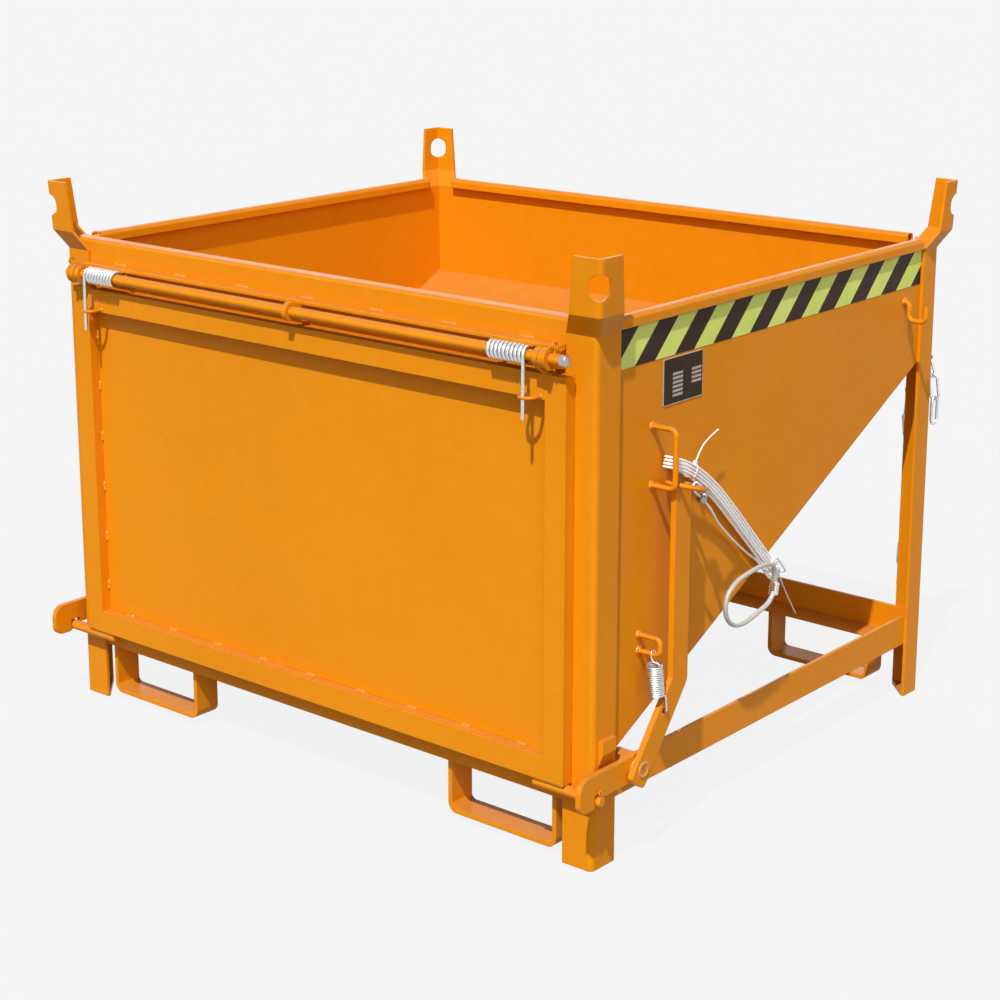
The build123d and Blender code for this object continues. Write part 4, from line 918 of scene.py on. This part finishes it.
# Springs
def add_torsion_springs():
    """Coils round the hinge rod: the inner tail lies on its anchor, the outer leg hangs in the flap's eye."""
    low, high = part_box("hinge_rod")
    centre = Vector((SPRING_INNER_END, (low.y + high.y) / 2, (low.z + high.z) / 2))
    first, last = (math.radians(angle) for angle in SPRING_ANGLES)
    line = []
    for turn in np.linspace(first, last, SPRING_POINTS):
        ring = UP * math.cos(turn) - Y_WAY * math.sin(turn)
        line.append(centre + X_WAY * (SPRING_PITCH * turn / (2 * math.pi)) + ring * SPRING_RADIUS)
    before = (line[0] - line[1]).normalized()
    after = line[-1] - line[-2]
    after.x = 0.0
    after.normalize()
    leg = (line[-1].z - SPRING_LEG_LOW) / -after.z
    line = [line[0] + before * SPRING_TAIL] + line
    line += [line[-1] + after * (leg * share) for share in np.linspace(0, 1, SPRING_LEG_POINTS + 1)[1:]]
    for side, name in ((1, "right"), (-1, "left")):
        shape = Shape()
        shape.tube([(side * point.x, point.y, point.z) for point in line], SPRING_WIRE / 2, SPRING_SIDES)
        spring = shape.piece(f"flap_spring_{name}", ZINC, "zinc")
        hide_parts(f"torsion_spring_{name}")
        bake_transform(spring)


def add_return_spring():
    """Close coil hooked over the staple, its lower end turned into the lever's hole."""
    beside = COIL_HOLE - X_WAY * COIL_RADIUS
    rearward = X_WAY.cross(beside - COIL_HANG).normalized()
    axis = (beside - rearward * COIL_HOOK - COIL_HANG).normalized()
    rearward = X_WAY.cross(axis).normalized()
    outward = axis.cross(rearward)
    line = [COIL_HANG + rearward * COIL_HOOK_RADIUS + axis * COIL_WIRE]
    for turn in np.linspace(0, math.pi, COIL_HOOK_POINTS):
        line.append(COIL_HANG + (rearward * math.cos(turn) - axis * math.sin(turn)) * COIL_HOOK_RADIUS)
    start = COIL_HANG + axis * COIL_START
    neck = line[-1]
    coil = []
    for turn in np.linspace(0, 2 * math.pi * COIL_TURNS, COIL_POINTS * COIL_TURNS + 1):
        ring = outward * math.cos(turn) + rearward * math.sin(turn)
        coil.append(start + axis * (COIL_PITCH * turn / (2 * math.pi)) + ring * COIL_RADIUS)
    into = coil[0] - rearward * COIL_HOOK * 0.5 - axis * COIL_NECK_LIFT
    bend = [neck, neck + axis * COIL_NECK, into - axis * COIL_NECK_LEAD, into, coil[0]]
    line += smooth_line("neck_line", bend)[1:]
    line += coil[1:]
    last = coil[-1]
    drop = [
        last,
        last + rearward * COIL_HOOK * 0.6,
        last + rearward * COIL_HOOK + axis * COIL_HOOK * 0.5,
        COIL_HOLE - axis * COIL_HOOK,
        COIL_HOLE,
        COIL_HOLE - X_WAY * COIL_HOOK,
        COIL_HOLE - X_WAY * (COIL_HOOK + COIL_INTO_HOLE),
    ]
    line += smooth_line("drop_line", drop)[1:]
    shape = Shape()
    shape.tube(line, COIL_WIRE / 2, COIL_SIDES)
    spring = shape.piece("lever_spring", ZINC, "zinc")
    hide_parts("return_spring")
    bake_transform(spring)


# Welds
def ripples(count):
    """Uneven ripple of a weld bead along its points."""
    step = np.arange(count)
    swell = 0.5 * RIPPLE_DEPTH * np.sin(step * SWELL_RATE + SWELL_START)
    return 1 + RIPPLE_DEPTH * np.sin(step * RIPPLE_RATE) + swell


def bead(shape, start, end, radius=BEAD):
    """Rippled bead along a straight seam."""
    start, end = Vector(start), Vector(end)
    count = max(6, round((end - start).length / (RIPPLE_PITCH / 3)))
    shape.tube([start.lerp(end, i / count) for i in range(count + 1)], radius, BEAD_SIDES, wobble=ripples)


def ring_bead(shape, centre, first, second, radius, size=BEAD):
    """Rippled bead round a bar or tube."""
    count = max(24, round(2 * math.pi * radius / (RIPPLE_PITCH / 3)))
    line = []
    for i in range(count):
        turn = 2 * math.pi * i / count
        line.append(Vector(centre) + (first * math.cos(turn) + second * math.sin(turn)) * radius)
    shape.tube(line, size, BEAD_SIDES, closed=True, wobble=ripples)


def stitches(shape, start, end, count, length=STITCH, radius=BEAD):
    """Short beads spaced evenly along a seam."""
    start, end = Vector(start), Vector(end)
    way = (end - start).normalized()
    for i in range(count):
        middle = start.lerp(end, (i + 0.5) / count)
        bead(shape, middle - way * length / 2, middle + way * length / 2, radius)


def add_flap_welds():
    """Stitches round the flap's panel, and beads at its ears, latch pins and spring eyes."""
    shape = Shape()
    low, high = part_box("flap_panel")
    face = low.y
    for z, edge in ((low.z, "bottom"), (high.z, "top")):
        stitches(shape, (low.x, face, z), (high.x, face, z), FLAP_STITCHES[edge])
    for x in (low.x, high.x):
        stitches(shape, (x, face, low.z), (x, face, high.z), FLAP_STITCHES["side"])
    low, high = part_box("flap_ears")
    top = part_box("flap_border_top")[1].z
    for x in (low.x, low.x + HINGE_PLATE, high.x - HINGE_PLATE, high.x):
        bead(shape, (x, high.y - EAR_WELD, top), (x, high.y - BEAD_INSET, top), FINE_BEAD)
    low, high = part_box("latch_pins")
    border_low, border_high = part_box("flap_border_bottom")
    middle = (low.y + high.y) / 2
    height = border_low.z - BEAD_INSET
    for side in (-1, 1):
        for y in (middle - PIN_WELD_OFF, middle + PIN_WELD_OFF):
            end = side * (border_high.x - BEAD_INSET)
            bead(shape, (side * PIN_WELD_FROM, y, height), (end, y, height), FINE_BEAD)
    low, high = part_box("spring_eyes")
    half = EYE_WIRE / 2
    height = (low.z + high.z) / 2
    for x in (low.x + half, low.x + EYE_SPAN - half, high.x - EYE_SPAN + half, high.x - half):
        ring_bead(shape, (x, high.y, height), X_WAY, UP, half, EYE_BEAD)
    shape.piece("flap_welds", WELD_PAINT, "orange_paint", "flap")


def add_frame_welds():
    """Beads at ledge, hinge brackets, wire holders and fork straps, and filled ends of the side rims."""
    shape = Shape()
    low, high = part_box("hinge_ledge")
    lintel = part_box("front_lintel")[0].y
    stitches(shape, (low.x, lintel, high.z), (high.x, lintel, high.z), LEDGE_STITCHES, LEDGE_STITCH)
    left, right = (corner.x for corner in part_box("hinge_brackets"))
    for start in (left, -HINGE_PLATE / 2, right - HINGE_PLATE):
        for x in (start, start + HINGE_PLATE):
            bead(shape, (x, low.y + BEAD_INSET, low.z), (x, lintel - BRACKET_INSET, low.z), BRACKET_BEAD)
    for node in ("rope_keeper", "spring_staple", "rope_hook"):
        low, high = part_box(node)
        wire = high.y - low.y
        middle = (low.y + high.y) / 2
        roots = (high.z - wire / 2, low.z + wire / 2) if node != "rope_hook" else (HOOK_ROOT,)
        for z in roots:
            ring_bead(shape, (low.x, middle, z), Y_WAY, UP, wire / 2, FINE_BEAD)
    for place in ("front_left", "front_right", "rear_left", "rear_right"):
        low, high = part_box(f"fork_strap_{place}")
        for x in (low.x, low.x + STRAP_THICK, high.x - STRAP_THICK, high.x):
            bead(shape, (x, low.y + STRAP_INSET, high.z), (x, high.y - STRAP_INSET, high.z), FINE_BEAD)
    low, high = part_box("rim_right")
    near, wide, tall = RIM_FILL_INSET, high.x - low.x - RIM_FILL_INSET, high.z - low.z - RIM_FILL_INSET
    fill = [(near, near), (wide, near), (wide, tall), (near, tall)]
    edge = ((high.x, low.z), (high.x, high.z - RIM_ROUND), (high.x - RIM_ROUND, high.z), (low.x, high.z))
    for side in (-1, 1):
        for y in (low.y - RIM_END_OFF, high.y + RIM_END_OFF):
            line = smooth_line("rim_weld", [(side * x, y, z) for x, z in edge])
            shape.tube(line, RIM_BEAD, BEAD_SIDES, wobble=ripples)
            corner = Vector((side * low.x, y - RIM_FILL / 2, low.z))
            shape.prism(fill, corner, X_WAY * side, UP, Y_WAY * RIM_FILL)
    shape.piece("frame_welds", WELD_PAINT, "orange_paint", "frame")


def add_latch_welds():
    """Beads and filled ends where the shaft meets hook and lever, and a bead across the lever's top."""
    shape = Shape()
    low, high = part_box("latch_shaft")
    middle = (low + high) / 2
    radius = (high.y - low.y) / 2
    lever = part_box("latch_lever")
    for x in (low.x, lever[0].x):
        ring_bead(shape, (x, middle.y, middle.z), Y_WAY, UP, radius, SHAFT_BEAD)
    plug = lever[1].x - PLUG_INSET
    plug_reach = PLUG - PLUG_BEAD_IN
    ring_bead(shape, (plug, middle.y, middle.z), Y_WAY, UP, plug_reach, FINE_BEAD)
    for x, reach in ((low.x + SHAFT_INSET, radius - CAP_IN), (plug - PLUG_BEAD_IN, plug_reach)):
        cap = []
        for turn in np.linspace(0, 2 * math.pi * CAP_TURNS, CAP_POINTS):
            off = reach * turn / (2 * math.pi * CAP_TURNS)
            cap.append((x, middle.y + off * math.cos(turn), middle.z + off * math.sin(turn)))
        shape.tube(cap, CAP_BEAD, CAP_SIDES, wobble=ripples)
    y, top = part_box("lever_ring")[0].y + RING_WELD_BACK, lever[1].z
    bead(shape, (lever[0].x + BEAD_INSET, y, top), (lever[1].x - BEAD_INSET, y, top), FINE_BEAD)
    shape.piece("latch_welds", WELD_PAINT, "orange_paint", "latch")


add_camera()
add_sun("sun", SUN_WAY, SUN_STRENGTH, SUN_ANGLE)
add_sun("fill", FILL_WAY, FILL_STRENGTH, FILL_ANGLE)
add_sun("back_fill", BACK_WAY, BACK_STRENGTH, FILL_ANGLE)
add_world()
add_floor()
bpy.context.scene.view_settings.view_transform = "Standard"

dress_nodes()
add_rope()
add_rope_clip()
add_ties()
add_torsion_springs()
add_return_spring()
add_flap_welds()
add_frame_welds()
add_latch_welds()
